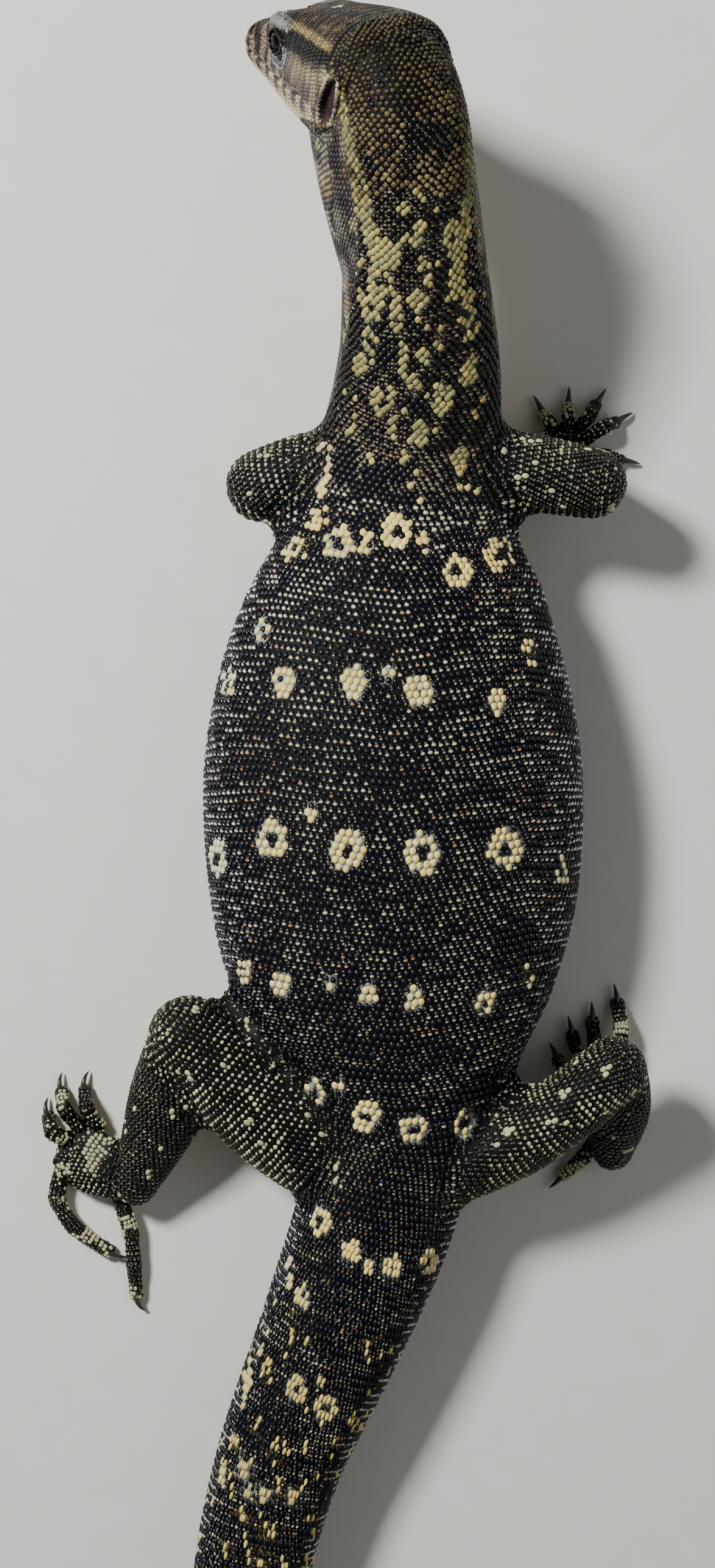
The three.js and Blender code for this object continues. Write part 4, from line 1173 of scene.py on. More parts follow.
# Rings and blotches of the back, seen from above: x, y, half width, half length, hole's half
# width, and the share of scales in it that are cream
BACK_MARKS = np.array([
    [-9.0, 46.7, 2.9, 3.2, 0.9, 0.85], [-3.8, 46.5, 1.2, 2.8, 0, 0.85], [2.0, 48.7, 2.8, 3.3, 1.1, 1],
    [7.3, 46.5, 1.3, 2.4, 0, 0.85], [13.3, 41.2, 2.6, 3.4, 1.0, 1], [-17.3, 45.9, 2.4, 2.8, 0.7, 0.6],
    [21.4, 44.8, 2.9, 3.6, 0.8, 0.65], [-23.6, 30.2, 1.5, 2.4, 0, 0.75], [-13.6, 51.5, 1.6, 2.2, 0, 0.6],
    [-30.4, 20.7, 1.6, 2.8, 0, 0.7], [-19.4, 20.6, 2.0, 2.9, 0, 0.95], [-6.0, 20.2, 2.5, 3.2, 0, 1],
    [-0.2, 21.6, 1.3, 1.7, 0, 0.75], [5.8, 18.5, 2.6, 2.9, 0.5, 1], [20.5, 16.8, 1.9, 2.4, 0, 0.95],
    [27.1, 26.2, 1.5, 2.5, 0, 0.6], [-32.2, -12.9, 1.8, 3.4, 0.6, 0.8], [-21.5, -9.1, 3.0, 3.5, 1.1, 1],
    [-14.2, -3.8, 1.4, 1.6, 0, 0.85], [-7.3, -11.0, 3.3, 3.7, 1.2, 1], [6.5, -11.7, 3.2, 3.8, 1.3, 1],
    [22.2, -10.8, 3.3, 3.7, 1.2, 1], [33.5, -15.2, 1.4, 3.0, 0, 0.6], [-26.9, -34.5, 1.6, 2.3, 0, 0.7],
    [-19.7, -36.4, 2.0, 2.5, 0, 0.9], [-10.5, -36.1, 1.2, 1.7, 0, 0.9], [-3.6, -38.0, 1.8, 2.1, 0.4, 1],
    [5.1, -38.8, 1.9, 2.2, 0.4, 1], [18.5, -39.8, 2.0, 2.6, 0.4, 0.95], [26.7, -35.1, 1.4, 2.2, 0, 0.6],
    [-13.6, -58.0, 1.8, 3.7, 0.8, 1], [-9.1, -56.5, 0.9, 1.9, 0, 0.9], [-3.8, -61.8, 2.7, 2.9, 1.0, 1],
    [5.2, -64.0, 2.7, 2.8, 0.9, 1], [15.0, -63.5, 1.9, 3.1, 0.8, 0.8], [-12.5, -82.5, 1.9, 2.9, 0.7, 0.95],
    [-6.7, -87.9, 1.9, 2.2, 0, 1], [-3.3, -90.9, 0.8, 1.3, 0, 1], [1.0, -91.0, 2.0, 2.4, 0.6, 1],
    [8.2, -91.0, 1.8, 2.7, 0.6, 0.85], [-18.6, -92.8, 0.9, 3.0, 0, 0.8], [-16.1, -97.5, 1.4, 2.6, 0, 0.8],
    [-27.0, -113.2, 1.1, 3.2, 0.3, 0.8], [-22.9, -111.8, 1.0, 2.5, 0, 0.7], [-17.1, -114.7, 1.9, 2.8, 0.6, 1],
    [-12.8, -113.1, 0.8, 1.3, 0, 1], [-11.6, -118.4, 2.2, 2.6, 0.6, 1], [-6.4, -122.2, 1.0, 2.4, 0, 0.7],
    [-31.7, -132.8, 0.9, 2.4, 0, 0.8], [-27.7, -131.2, 1.0, 2.4, 0, 0.8], [-26.3, -135.5, 0.8, 1.7, 0, 0.8],
    [-23.3, -135.3, 1.0, 2.0, 0, 1], [-19.3, -126.3, 0.8, 2.2, 0, 0.8], [-18.0, -135.9, 1.0, 2.2, 0, 0.8],
    [-30.6, -146.6, 0.8, 2.2, 0, 0.7], [-27.2, -143.9, 0.8, 2.0, 0, 0.7], [-24.5, -148.0, 0.8, 2.2, 0, 0.7],
    [-19.9, -148.9, 0.8, 2.0, 0, 0.7],
])
NECK_MARKS = np.array([
    [11.5, 99.4, 2.5, 3.3, 0.8, 1], [-3.1, 88.1, 1.9, 3.4, 0.5, 0.9], [-3.3, 82.8, 1.9, 3.0, 0.5, 0.9],
    [5.6, 88.9, 1.8, 2.7, 0, 1], [1.7, 86.8, 1.3, 3.2, 0, 1], [5.2, 75.0, 1.6, 2.3, 0, 1],
    [-0.6, 72.5, 2.8, 3.1, 1.0, 0.95], [10.3, 72.7, 2.4, 3.2, 0.8, 1], [6.0, 66.8, 2.0, 2.8, 0, 1],
    [15.2, 77.9, 1.6, 3.4, 0, 1], [-4.9, 79.1, 1.4, 2.7, 0, 0.9], [1.1, 67.5, 1.0, 2.8, 0, 1],
    [13.7, 61.9, 1.6, 3.2, 0, 0.9], [-11.0, 61.7, 1.0, 3.4, 0, 0.9], [-12.2, 57.5, 1.4, 3.0, 0, 0.9],
    [2.9, 79.8, 0.9, 3.0, 0, 0.9], [14.3, 87.6, 2.0, 3.4, 0.5, 0.9], [0.2, 96.6, 2.9, 3.0, 0, 0.9],
    [-2.7, 92.6, 1.1, 3.4, 0, 1], [-3.9, 102.7, 1.2, 3.8, 0, 0.9], [5.7, 99.5, 1.7, 2.7, 0, 0.9],
    [6.9, 92.3, 1.0, 1.8, 0, 0.9], [9.6, 82.6, 1.0, 2.8, 0, 0.8], [12.2, 92.4, 1.0, 3.0, 0, 0.7],
])
# Marks on the neck are drawn a little smaller and looser than their table says
NECK_FIT = [1, 1, 0.84, 0.86, 0.8, 0.95]

# Colours of the living animal
INK, UMBER = linear("#090a14"), linear("#6e5a3d")
WARM_INK, CREAM, STRAW, BONE, TAN = "#16120f", "#dcc570", "#bda95f", "#c6c5b2", "#9c6f4a"
OLIVE, SILVER, BELLY, DUST, VIOLET = "#a09d69", "#9fb0ba", "#cfc596", "#aba283", "#5b5873"
# Spot size of a scale that is pale all over
WHOLE = 4.0


def in_marks(points, marks):
    """How deep points lie in the nearest mark of a table, seen from above: 1 at its edge and 0
    in its middle, with that mark's cream share and whether the point is in its hole."""
    away = points[:, None, :2] - marks[None, :, :2]
    size = np.sqrt((away[..., 0] / marks[:, 2]) ** 2 + (away[..., 1] / marks[:, 3]) ** 2)
    nearest = size.argmin(1)
    own = marks[nearest]
    deep = size[np.arange(len(points)), nearest]
    away = points[:, :2] - own[:, :2]
    hole_wide = np.maximum(own[:, 4], 1e-3)
    hole = np.hypot(away[:, 0] / hole_wide, away[:, 1] / (hole_wide * own[:, 3] / own[:, 2])) < 1
    return deep, own[:, 5], hole & (own[:, 4] > 0)


def loose_skin_tones(points):
    """The neck's loose sides and throat: grey-mauve with streaks of dull cream and ochre."""
    return layered(
        mixed("#2c272a", "#6c655a", smooth_step(0.36, 0.85, cloud(points, [1.6, 4.0, 2.2], 19))),
        ("#a39a72", smooth_step(0.66, 0.9, cloud(points, [1.3, 3.0, 1.6], 53)) * 0.7),
        ("#94744a", smooth_step(0.72, 0.9, cloud(points, [2.0, 3.0, 2.0], 20)) * 0.5))


def body_paint(points, normals, near, chance):
    """Colours on neck, trunk and tail: scale ground, spot, spot size and the skin between.
    turn is the angle from the back's midline, 90 degrees at the side and 180 at the belly."""
    row, side, upright = BODY_FRAMES
    run = run_along(row[:, :3])[near]
    row, side, upright = row[near], side[near], upright[near]
    away = points - row[:, :3]
    rise = dot(away, upright)[:, 0]
    rise = rise / np.where(rise > 0, row[:, 4], row[:, 5])
    turn = np.degrees(np.arctan2(np.abs(dot(away, side)[:, 0] / row[:, 3]), rise))
    y = row[:, 1]
    a, b, c = chance.T
    toss = a - 0.5
    noise = partial(cloud, points)
    flank = smooth_step(35, 75, turn)
    under = smooth_step(118, 140, turn + 14 * (noise(6, 21) - 0.5))
    neck = smooth_step(54, 68, y)
    nape = smooth_step(103, 117, y + 8 * (noise(5, 9) - 0.5))
    tail = smooth_step(-92, -112, y)
    rump = smooth_step(-40, -58, y) * (1 - tail)

    # Dark scales with a pale dash or dot behind, in patches
    ground = mixed(INK, WARM_INK, 0.7 * noise(9, 2) + 0.5 * neck)
    # The skin between the scales at 0.35 of their ground: painted shade in the gaps between them
    between = ground * 0.35
    patch = noise(8, 5)
    sparse = 0.02 * smooth_step(20, -30, y) * (1 - flank) + 0.03 * rump + 0.10 * hill(y, 42, 16)
    present = noise([3.6, 1.5, 3.6], 3) + 0.5 * toss + 0.3 * (patch - 0.5) > 0.46 + sparse
    size = np.where(present, 0.66 + 0.5 * b + 0.2 * flank, 0.5 * (c > 0.8))
    spot = layered(
        mixed(DUST, "#d3c99c", b) * (0.72 + 0.36 * np.sqrt(c))[:, None],
        ("#c4cbd2", flank * 0.85 + 0.2 * (c - 0.5)),
        (UMBER, (rump * 0.75 * (1 - flank) + 0.35 * tail) * (c < 0.7) + (patch < 0.28) * 0.4),
        (TAN, (a > 0.93) * 0.8))

    # Cream clusters over the shoulders, netted streaks on the neck, brown dots between them
    shoulder = hill(y, 50, 9) * smooth_step(20, 45, turn) * (1 - under)
    whole = (shoulder > 0.35) & (noise([2.2, 3.6, 2.2], 11) + 0.3 * toss > 0.95)
    streak = noise([1.5, 2.6, 1.7], 31) + 0.25 * toss
    neck_zone = (y > 55) & (nape < 0.5)
    whole |= neck_zone & (streak > 0.785 - 0.05 * smooth_step(92, 104, y)) & (turn < 80)
    small = neck_zone & ~whole
    dotted = noise([2.4, 2.4, 2.4], 33) + 0.5 * toss > 0.52
    size = np.where(small, np.where(dotted, 0.66 + 0.45 * b, 0), size)
    spot = pick(small, mixed(spot, UMBER, 0.35 + 0.5 * c), spot)

    # Dull brown beads on the nape, with dark threads between
    bead = mixed(UMBER * 0.55, "#8d7c50", noise([3.0, 4.5, 3.0], 13) + 0.5 * (b - 0.5))
    bead = mixed(bead, "#a3935d", smooth_step(0.62, 0.85, noise([2.4, 6, 2.4], 15)) * 0.8)
    dark_thread = noise([1.9, 5.5, 1.9], 17) + 0.35 * toss
    size = np.where(nape > 0.5, np.where(dark_thread > 0.36, 1.7 + 0.6 * b, 0.9 * (c > 0.4)), size)
    spot = pick(nape > 0.5, bead * (0.17 + 0.6 * smooth_step(129, 106, y))[:, None], spot)

    # The neck's dark side band, and below it the loose throat with a rust-coloured fold
    band = throat_edge(y)
    lateral = smooth_step(13, 6, np.abs(turn - band)) * window(y, 48, 62, 88, 97)
    dim = lateral > 0.4 + 0.4 * a
    size = np.where(dim, size * 0.5 * (b > 0.5), size)
    whole &= ~dim
    fold = hill(points[:, 0], -8.4, 1.0) * hill(points[:, 1], 106.5, 2.6)
    grey = layered(loose_skin_tones(points), (BELLY, under * 0.7), ("#a5683c", fold * 1.2))
    on_throat = smooth_step(0, 16, turn - band - 6) * smooth_step(50, 66, y) > 0.5
    ground, spot, size, between = covered((ground, spot, size, between), on_throat, grey, 0.6, 0.6)

    # The pale line from the head down the neck, then rings and blotches with a dark halo
    stripe_turn = np.interp(y, [94, 98.5, 108, 124, 130], [27, 33, 47, 82, 90])
    stripe = (np.abs(turn - stripe_turn) < 8 + 4 * toss) & (y > 93) & (y < 129)
    stripe &= noise([1.6, 4.5, 1.6], 41) > 0.3
    whole |= stripe
    deep, share, hole = in_marks(points, np.concatenate([BACK_MARKS, NECK_MARKS * NECK_FIT]))
    upper = (normals[:, 2] > 0.12) & (points[:, 2] > row[:, 2] - 2)
    marked = upper & (deep < 1.0 + 0.12 * toss) & ~hole & (b <= share)
    halo = upper & (deep < 1.75) & ~marked & (y < 56)
    size = np.where(halo, size * np.where(hole, 0.0, 0.42 + 0.5 * (c > 0.7)), size)
    whole |= marked

    # The tail's flecks, gathered into bands
    flecks = noise([1.2, 3.4, 1.2], 23) + 0.3 * toss
    bands = 0.5 + 0.5 * np.sin(2 * np.pi * run / 15.5 + 1.6 * noise(12, 25))
    least = np.where(y < -150, 0.90 - 0.24 * bands - 0.06 * flank, 0.86 - 0.1 * flank)
    whole |= (tail > 0.5) & (flecks > least) & (turn < 125)

    # Cream of the scales pale all over, olive on the neck, and bluish skin inside clear marks
    pale = layered(
        mixed(CREAM, BONE, flank * 0.75 + 0.5 * (c - 0.5)),
        (OLIVE, neck * 0.9), (CREAM, neck * 0.6 * (c > 0.62)), (STRAW, tail * 0.7))
    pale = pale * (0.8 + 0.3 * b - 0.36 * neck - 0.22 * stripe * smooth_step(100, 112, y))[:, None]
    coat = covered((ground, spot, size, between), whole, pale, 0.72, 0.4)
    glow = upper & (deep < 1.04) & ~hole & (share > 0.7)
    lit = pick(glow, mixed(SILVER, pale, 0.25 + 0.4 * neck) * 0.75, coat[3])

    # The pale belly and its dark bars
    bars = smooth_step(0.5, 0.62, 0.5 + 0.5 * np.sin(2 * np.pi * run / 13 + 2 * noise(10, 27)))
    belly = mixed(mixed(BELLY, BONE, noise(5, 29)), INK * 1.6, bars * smooth_step(172, 150, turn) * 0.9)
    below = (under > 0.5) & ~on_throat
    ground, *others = covered((*coat[:3], lit), below, belly, 0.8, 0.45)
    return pick(below & (tail > 0.5), ground * 0.6, ground), *others


def limb_paint(points, normals, kind, chance):
    """Colours on limbs, feet and throat: a round cream dot on each dark scale, clusters of
    cream scales, pale undersides, and banded toes."""
    a, b, c = chance.T
    noise = partial(cloud, points)
    ground = mixed(INK, WARM_INK, 0.4 + noise(5, 43))
    patch = noise(4.2, 45)
    size = np.where(patch + 0.7 * (a - 0.5) > 0.32, 0.5 + 1.15 * b ** 2 * patch + 0.3 * patch, 0.3)
    spot = mixed(DUST, "#cbc795", b * 0.8) * (0.3 + 0.6 * patch)[:, None]
    spot = mixed(spot, UMBER, (c < 0.25) * 0.5)
    toes = kind == FOOT
    toe_bands = noise(2.8, 49) + 0.2 * (a - 0.5) > 0.64
    cluster = np.where(toes, toe_bands, noise(2.6, 47) + 0.3 * (a - 0.5) > 0.87)
    pale = mixed(mixed("#cfca98", DUST, c) * 0.8, "#8f8a6c", toes * 0.5)
    # The skin between the scales at 0.35 of their ground, and at 0.07 of the cream beside clusters: painted
    # shade in the gaps
    coat = covered((ground, spot, size, ground * 0.35), cluster, pale, 0.7, 0.07)
    throat = kind == THROAT
    loose = mixed(loose_skin_tones(points), BELLY, smooth_step(-0.4, -0.9, normals[:, 2]) * 0.7)
    underside = pick(throat, loose, mixed(BELLY, "#8a8470", noise(3, 51) * 1.4 - 0.3))
    pale_zone = (smooth_step(-0.15, -0.55, normals[:, 2]) > 0.5) | throat
    return covered(coat, pale_zone, underside, 0.65, 0.45)


def head_paint(points, normals, chance):
    """Colours on the head by distance back t and height z in its own frame: a dark speckled
    crown edged by a yellow line, a black stripe behind the eye, barred lips and snout, pale
    brow plates and eyelid rims, mottled cheeks, a cream chin and a plum ear, with painted shade
    under the eye, in the crease behind the head, along the mouth and between the scales."""
    own = on_right(points)
    facing = normals @ HEAD_AXES
    x, t, z = own[:, 0], -own[:, 1], own[:, 2]
    a, b, c = chance.T
    noise = partial(cloud, own)

    speckle = noise([1.5, 1.8, 1.5], 61) + 0.3 * (a - 0.5)
    crown = layered(
        mixed("#0f0d0c", "#241e18", noise(3.4, 63)),
        ("#463828", smooth_step(0.45, 0.8, speckle) * 0.7),
        ("#6b5c3b", smooth_step(0.76, 0.98, speckle) * 0.55))

    upright = noise([3, 0.9, 3.6], 65)
    fine = noise([2, 0.55, 3.0], 67)
    rusty = smooth_step(0.58, 0.78, noise([4, 2.2, 3.0], 69)) * smooth_step(30, 22, t + 0.8 * z)
    dark_patch = smooth_step(3.6, 5.4, z + 1.2 * (fine - 0.5)) * window(t, 20, 23, 36, 38)
    cheek = layered(
        mixed("#6c5c5c", "#a19478", smooth_step(0.38, 0.66, upright)),
        ("#714f3c", rusty * 0.8),
        ("#3d363b", smooth_step(0.56, 0.8, fine) * 0.6),
        ("#b3a87c", hill(z, 3.0, 1.4) * window(t, 22, 26, 34, 38) * (0.4 + 0.5 * upright)),
        ("#cfc694", hill(z, 4.5, 0.9) * smooth_step(34.5, 37, t) * 0.9),
        ("#2a242c", dark_patch * 0.85))

    # Upright bars on lips and snout every 4.4 mm
    shift = t + 0.25 * z + 0.8 * (noise(3, 71) - 0.5)
    bar = smooth_step(0.36, 0.7, 0.5 + 0.5 * np.sin(2 * np.pi * (shift - 3.2) / 4.4))
    barred = layered(
        mixed("#a08878", "#b5a88c", smooth_step(8, 18, t)),
        ("#57514f", smooth_step(1.8, 0.2, t)),
        (mixed("#1d191a", "#4a4645", smooth_step(11, 17, t)), bar * 0.92))
    barred = barred * (0.74 + 0.2 * b)[:, None]
    side = mixed(barred, cheek, smooth_step(19.0, 23.5, t + 0.6 * z)) * 0.62

    # The crown above its line, the black stripe over the temple and the yellow line above it
    crown_line = np.interp(t, [0, 4, 9, 16, 22, 30, 40], [0.8, 2.9, 4.9, 8.2, 8.5, 8.6, 8.3])
    temple_low = np.interp(t, [18, 20, 25, 32, 39], [4.6, 5.0, 5.1, 5.7, 6.2])
    temple_high = np.interp(t, [18, 22, 30, 36.5, 40], [7.0, 8.0, 8.2, 8.0, 6.2])
    ragged = 0.35 * (a - 0.5) + 0.5 * np.abs((t / 0.9) % 1 - 0.5)
    stripe = smooth_step(-0.3, 0.3, z + ragged - temple_low) * window(t, 17.6, 19, 39.5, 41)
    stripe = stripe * smooth_step(-0.15, 0.15, temple_high + ragged - z)
    line = smooth_step(-0.15, 0.15, z + ragged - temple_high) * window(t, 21.5, 23, 39, 41)
    line = line * smooth_step(0.35, -0.35, z - temple_high - 0.9)
    paint = layered(
        pick(crown_line < z, crown, side),
        ("#110f13", stripe),
        (mixed("#8a7745", "#a8996a", c), line * (0.5 + 0.4 * b)))

    # The dark drop about the eye, a capsule from the eye to behind and below it, is painted
    # shade under the eye: black inside it and dark mauve about it, with two pale arcs under it.
    # The black band behind the eye is its own stripe.
    start, end = np.array([17.5, 4.5]), np.array([20.3, 2.9])
    here = np.stack([t, z], 1) - start
    reach = np.clip(here @ (end - start) / ((end - start) ** 2).sum(), 0, 1)
    drop = np.hypot(*(here - reach[:, None] * (end - start)).T) - (2.25 - 1.6 * reach)
    near_eye = (x > 4.5) & (drop < 2.4)
    low = smooth_step(4.6, 3.4, z - 0.15 * (t - 17.6)) * smooth_step(15.4, 17.0, t)
    arcs = np.maximum(hill(drop, 0.42, 0.17), hill(drop, 1.25, 0.22))
    behind = smooth_step(17.5, 19, t) * window(z, 4.2, 5.0, 7.0, 7.6) * smooth_step(2.2, 1.6, drop)
    above_brow = z - np.interp(t, [12, 16, 20, 23], [6.4, 7.7, 8.0, 7.7])
    plate = window(above_brow, -0.75, -0.35, 0.95, 1.35) * window(t, 13.0, 13.8, 21.5, 22.6) * (x > 3.8)
    plates = layered(
        mixed("#74756d", VIOLET, smooth_step(16.5, 14.0, t) * smooth_step(-0.1, 0.7, above_brow)),
        ("#aca580", smooth_step(0.1, -0.4, above_brow) * 0.8))
    paint = layered(
        paint,
        # Painted shade under the eye: dark mauve with pale arcs, then black inside the drop
        (mixed("#3b3538", "#8f979c", arcs), near_eye * low * smooth_step(1.9, 1.5, drop) * 0.95),
        ("#0d0c0f", near_eye * np.maximum(smooth_step(0.22, 0.05, drop), behind)),
        (plates, plate))

    above_lips = lip_distance(own)
    jaw = mixed(barred, "#cfc39c", smooth_step(-1.2, -3.6, above_lips) * 0.85)
    chin = mixed("#c4b88c", "#d9d0ab", noise(3, 73))
    chin = mixed(chin, "#77726a", smooth_step(0.6, 0.75, noise([5, 1.6, 5], 75)) * 0.5)
    ear, by_ear = ear_radius(own), x > 8
    paint = layered(
        pick((above_lips < 0.1) & (t < 36), jaw, paint),
        (chin, smooth_step(-0.25, -0.7, facing[:, 2])),
        ("#b5aa86", by_ear * hill(ear, 1.3, 0.22) * smooth_step(0.5, 3.0, np.abs(z - 0.3)) * 0.6),
        ("#4a3238", by_ear * smooth_step(1.12, 0.94, ear)),
        # A black line just behind the head's own scales: painted shade in the crease between head and nape
        ("#0c0b0c", hill(t, head_edge(z) + 0.2, 0.7) * smooth_step(3.6, 4.6, z) * 0.95),
        ("#bfb89a", (np.hypot(x, t - 25.5) < 0.95) & (z > 6)))
    paint = paint * (0.94 + 0.12 * c)[:, None]
    # The skin between the head's scales at 0.72 of the paint, falling to 0.18 along the mouth's crease:
    # painted shade between the scales and in the crease
    crease = hill(above_lips, 0, 0.22) * (t < MOUTH_LENGTH) * (facing[:, 2] < 0.9) * (x < 14)
    return paint, paint, np.zeros(len(t)), paint * (0.72 - 0.54 * crease)[:, None]


def coat_paint(points, normals):
    """The same markings for scales and for the skin between them: each point takes its part's
    colours. Returns scale ground, spot, spot size and skin."""
    chance = rng.random((len(points), 3))
    kind, near = nearest_part(points)
    results = [np.zeros((len(points), 3)[:axes]) for axes in (2, 2, 1, 2)]
    painters = (
        (kind == BODY, lambda own: body_paint(points[own], normals[own], near[own], chance[own])),
        (kind == HEAD, lambda own: head_paint(points[own], normals[own], chance[own])),
        (kind >= LIMB, lambda own: limb_paint(points[own], normals[own], kind[own], chance[own])))
    for own, painter in painters:
        for result, values in zip(results, painter(own)):
            result[own] = values
    return results


def shelves(sizes, wide):
    """Lower left corners for rectangles set side by side on shelves of a given width, in their
    order, and the height of all the shelves."""
    corners = []
    x = top = tallest = 0.0
    for width, height in sizes:
        if x + width > wide:
            x, top, tallest = 0.0, top + tallest, 0.0
        corners.append((x, top))
        x, tallest = x + width, max(tallest, height)
    return corners, top + tallest


def unwrap(beds):
    """Each scale's place on an unwrap of the skin. A bed's rows and columns lie flat, cut into
    strips of STRIP_ROWS, and the strips stand on shelves in the unit square, tallest first."""
    strips = []
    for _, bed in beds:
        bed["unwrap"] = bed["cell"].copy()
        strip = bed["cell"][:, 1] // STRIP_ROWS
        for number in np.unique(strip):
            own = np.flatnonzero(strip == number)
            cell = bed["cell"][own] - bed["cell"][own].min(0) + 0.5
            strips.append((bed, own, cell, cell.max(0) + 0.5))
    strips.sort(key=lambda item: (-item[3][1], -item[3][0]))
    sizes = [item[3] for item in strips]
    wide = min(np.arange(210.0, 340.0, 2), key=lambda width: max(width, shelves(sizes, width)[1]))
    corners, high = shelves(sizes, wide)
    step = 0.985 / max(wide, high)
    for (bed, own, cell, _), corner in zip(strips, corners):
        bed["unwrap"][own] = (cell + corner) * step + 0.007


def link(tree, source, socket):
    """A link into a socket from "node" or "node.output", by its name or number."""
    name, _, output = source.partition(".")
    tree.links.new(tree.nodes[name].outputs[int(output) if output.isdigit() else output or 0], socket)


def new_node(tree, name, kind, settings=(), links=()):
    """A shader node with its name, kind, settings, and links from named nodes into it."""
    node = tree.nodes.new("ShaderNode" + kind)
    node.name = name
    for key, value in dict(settings).items():
        if isinstance(key, str) and hasattr(node, key):
            setattr(node, key, value)
        else:
            node.inputs[key].default_value = value
    for socket, source in dict(links).items():
        link(tree, source, node.inputs[socket])


def new_material(name, constants, nodes, colour, normal=None):
    """A material: constants on the shader itself, rows of its nodes, and the nodes that give
    its colour and its normal."""
    material = bpy.data.materials.new(name)
    material.use_nodes = True
    tree = material.node_tree
    shader = tree.nodes["Principled BSDF"]
    for socket, value in constants.items():
        shader.inputs[socket].default_value = value
    for row in nodes:
        new_node(tree, *row)
    link(tree, colour, shader.inputs["Base Color"])
    if normal:
        link(tree, normal, shader.inputs["Normal"])
    return material


def attribute(name):
    """The row of a node that reads a colour or number stored with the points."""
    return name, "Attribute", {"attribute_name": name}


PLACE = ("place", "TexCoord")


def noise_row(name, kind, **settings):
    """The row of a texture node in the object's own space, scaled in cells for each metre."""
    return name, "Tex" + kind, settings, {"Vector": "place.Object"}


def between_row(low, high, share):
    """The row of a node that mixes two sRGB hex colours by another node."""
    ends = {6: (*linear(low), 1), 7: (*linear(high), 1)}
    return "colour", "Mix", {"data_type": "RGBA"} | ends, {0: share}


def keratin_scales():
    """Keratin, the horny bead of each scale: dark and glossy as if wet, with a pale tip at its
    rear. It catches small sharp lights on every bead."""
    return new_material("keratin scales", {"Roughness": 0.3, "IOR": 1.5, "Specular IOR Level": 0.27}, [
        attribute("ground"), attribute("spot"), attribute("spot_size"), PLACE,
        ("own", "UVMap", {"uv_map": "own"}),
        # Each scale's own map runs 0 to 1 across and back. The pale part is an ellipse on the
        # rear rim that spreads forward with the size, its edge ragged by about 0.1 mm.
        ("centred", "VectorMath", {"operation": "SUBTRACT", 1: (0.5, 0.84, 0)}, {0: "own"}),
        ("squeezed", "VectorMath", {"operation": "MULTIPLY", 1: (3.0, 3.7, 0)}, {0: "centred"}),
        ("away", "VectorMath", {"operation": "LENGTH"}, {0: "squeezed"}),
        noise_row("ragged", "Noise", Scale=2500.0, Detail=1.0),
        ("reach", "Math", {"operation": "SUBTRACT"}, {0: "spot_size.Fac", 1: "away.Value"}),
        ("torn", "Math", {"operation": "MULTIPLY_ADD", 1: 0.5}, {0: "ragged", 2: "reach"}),
        ("tip", "MapRange", {1: 0.16, 2: 0.42, 3: 0.0, 4: 1.0}, {0: "torn"}),
        # Its colour is up to 1.3 times as light at the rim as in the middle
        ("middle", "VectorMath", {"operation": "DISTANCE", 1: (0.5, 0.5, 0)}, {0: "own"}),
        ("rim", "MapRange", {1: 0.22, 2: 0.5, 3: 1.0, 4: 1.3}, {0: "middle.Value"}),
        ("paler", "VectorMath", {"operation": "SCALE"}, {0: "spot.Color", "Scale": "rim"}),
        ("colour", "Mix", {"data_type": "RGBA"}, {0: "tip", 6: "ground.Color", 7: "paler"}),
        # Growth lines and dried shed skin about 0.2 mm apart, which break the highlights up
        noise_row("grain", "Noise", Scale=5000.0, Detail=3.0),
        ("bump", "Bump", {"Strength": 0.7, "Distance": 0.00008}, {"Height": "grain"}),
    ], "colour.2", "bump")


def granular_skin():
    """Skin between the scales: dark, dull and finely granular, with folds too small to model."""
    return new_material("granular skin", {"Roughness": 0.6, "IOR": 1.45, "Specular IOR Level": 0.15}, [
        attribute("ground"), PLACE,
        # Granules 0.35 mm across, darker towards their edges: painted shade in the grooves between them
        noise_row("cells", "Voronoi", Scale=2800.0),
        ("edge", "MapRange", {1: 0.15, 2: 0.6, 3: 1.0, 4: 0.55}, {0: "cells.Distance"}),
        ("colour", "VectorMath", {"operation": "SCALE"}, {0: "ground.Color", "Scale": "edge"}),
        ("bump", "Bump", {"Strength": 0.5, "Distance": 0.00012, "invert": True},
         {"Height": "cells.Distance"}),
    ], "colour", "bump")


def wet_eye():
    """A wet cornea over a brown-black iris: the sharpest highlight on the animal."""
    constants = {"Roughness": 0.04, "IOR": 1.2, "Specular IOR Level": 0.3}
    return new_material("wet cornea", constants, [attribute("ground")], "ground.Color")


def claw_horn():
    """Claw horn: brown-black keratin sheath, smooth and slightly waxy, with growth streaks about
    0.4 mm apart."""
    return new_material("claw horn", {"Roughness": 0.28, "IOR": 1.54}, [
        PLACE, noise_row("streaks", "Noise", Scale=2500.0, Detail=3.0),
        between_row("#0e0b09", "#3a3026", "streaks"),
    ], "colour.2")


def backing_paper():
    """Matt backing paper, with mottling about 6 mm across."""
    return new_material("matt backing paper", {"Roughness": 0.9, "IOR": 1.45}, [
        PLACE, noise_row("mottle", "Noise", Scale=160.0, Detail=4.0),
        between_row("#c9c4bc", "#d0ccc5", "mottle"),
    ], "colour.2")


def dress_skin():
    """Paints the skin between the scales and gives it its material."""
    points, normals = read_points(skin.data), read_normals(skin.data)
    paint_points(skin.data, "ground", coat_paint(points, normals)[3])
    skin.data.materials.clear()
    skin.data.materials.append(granular_skin())


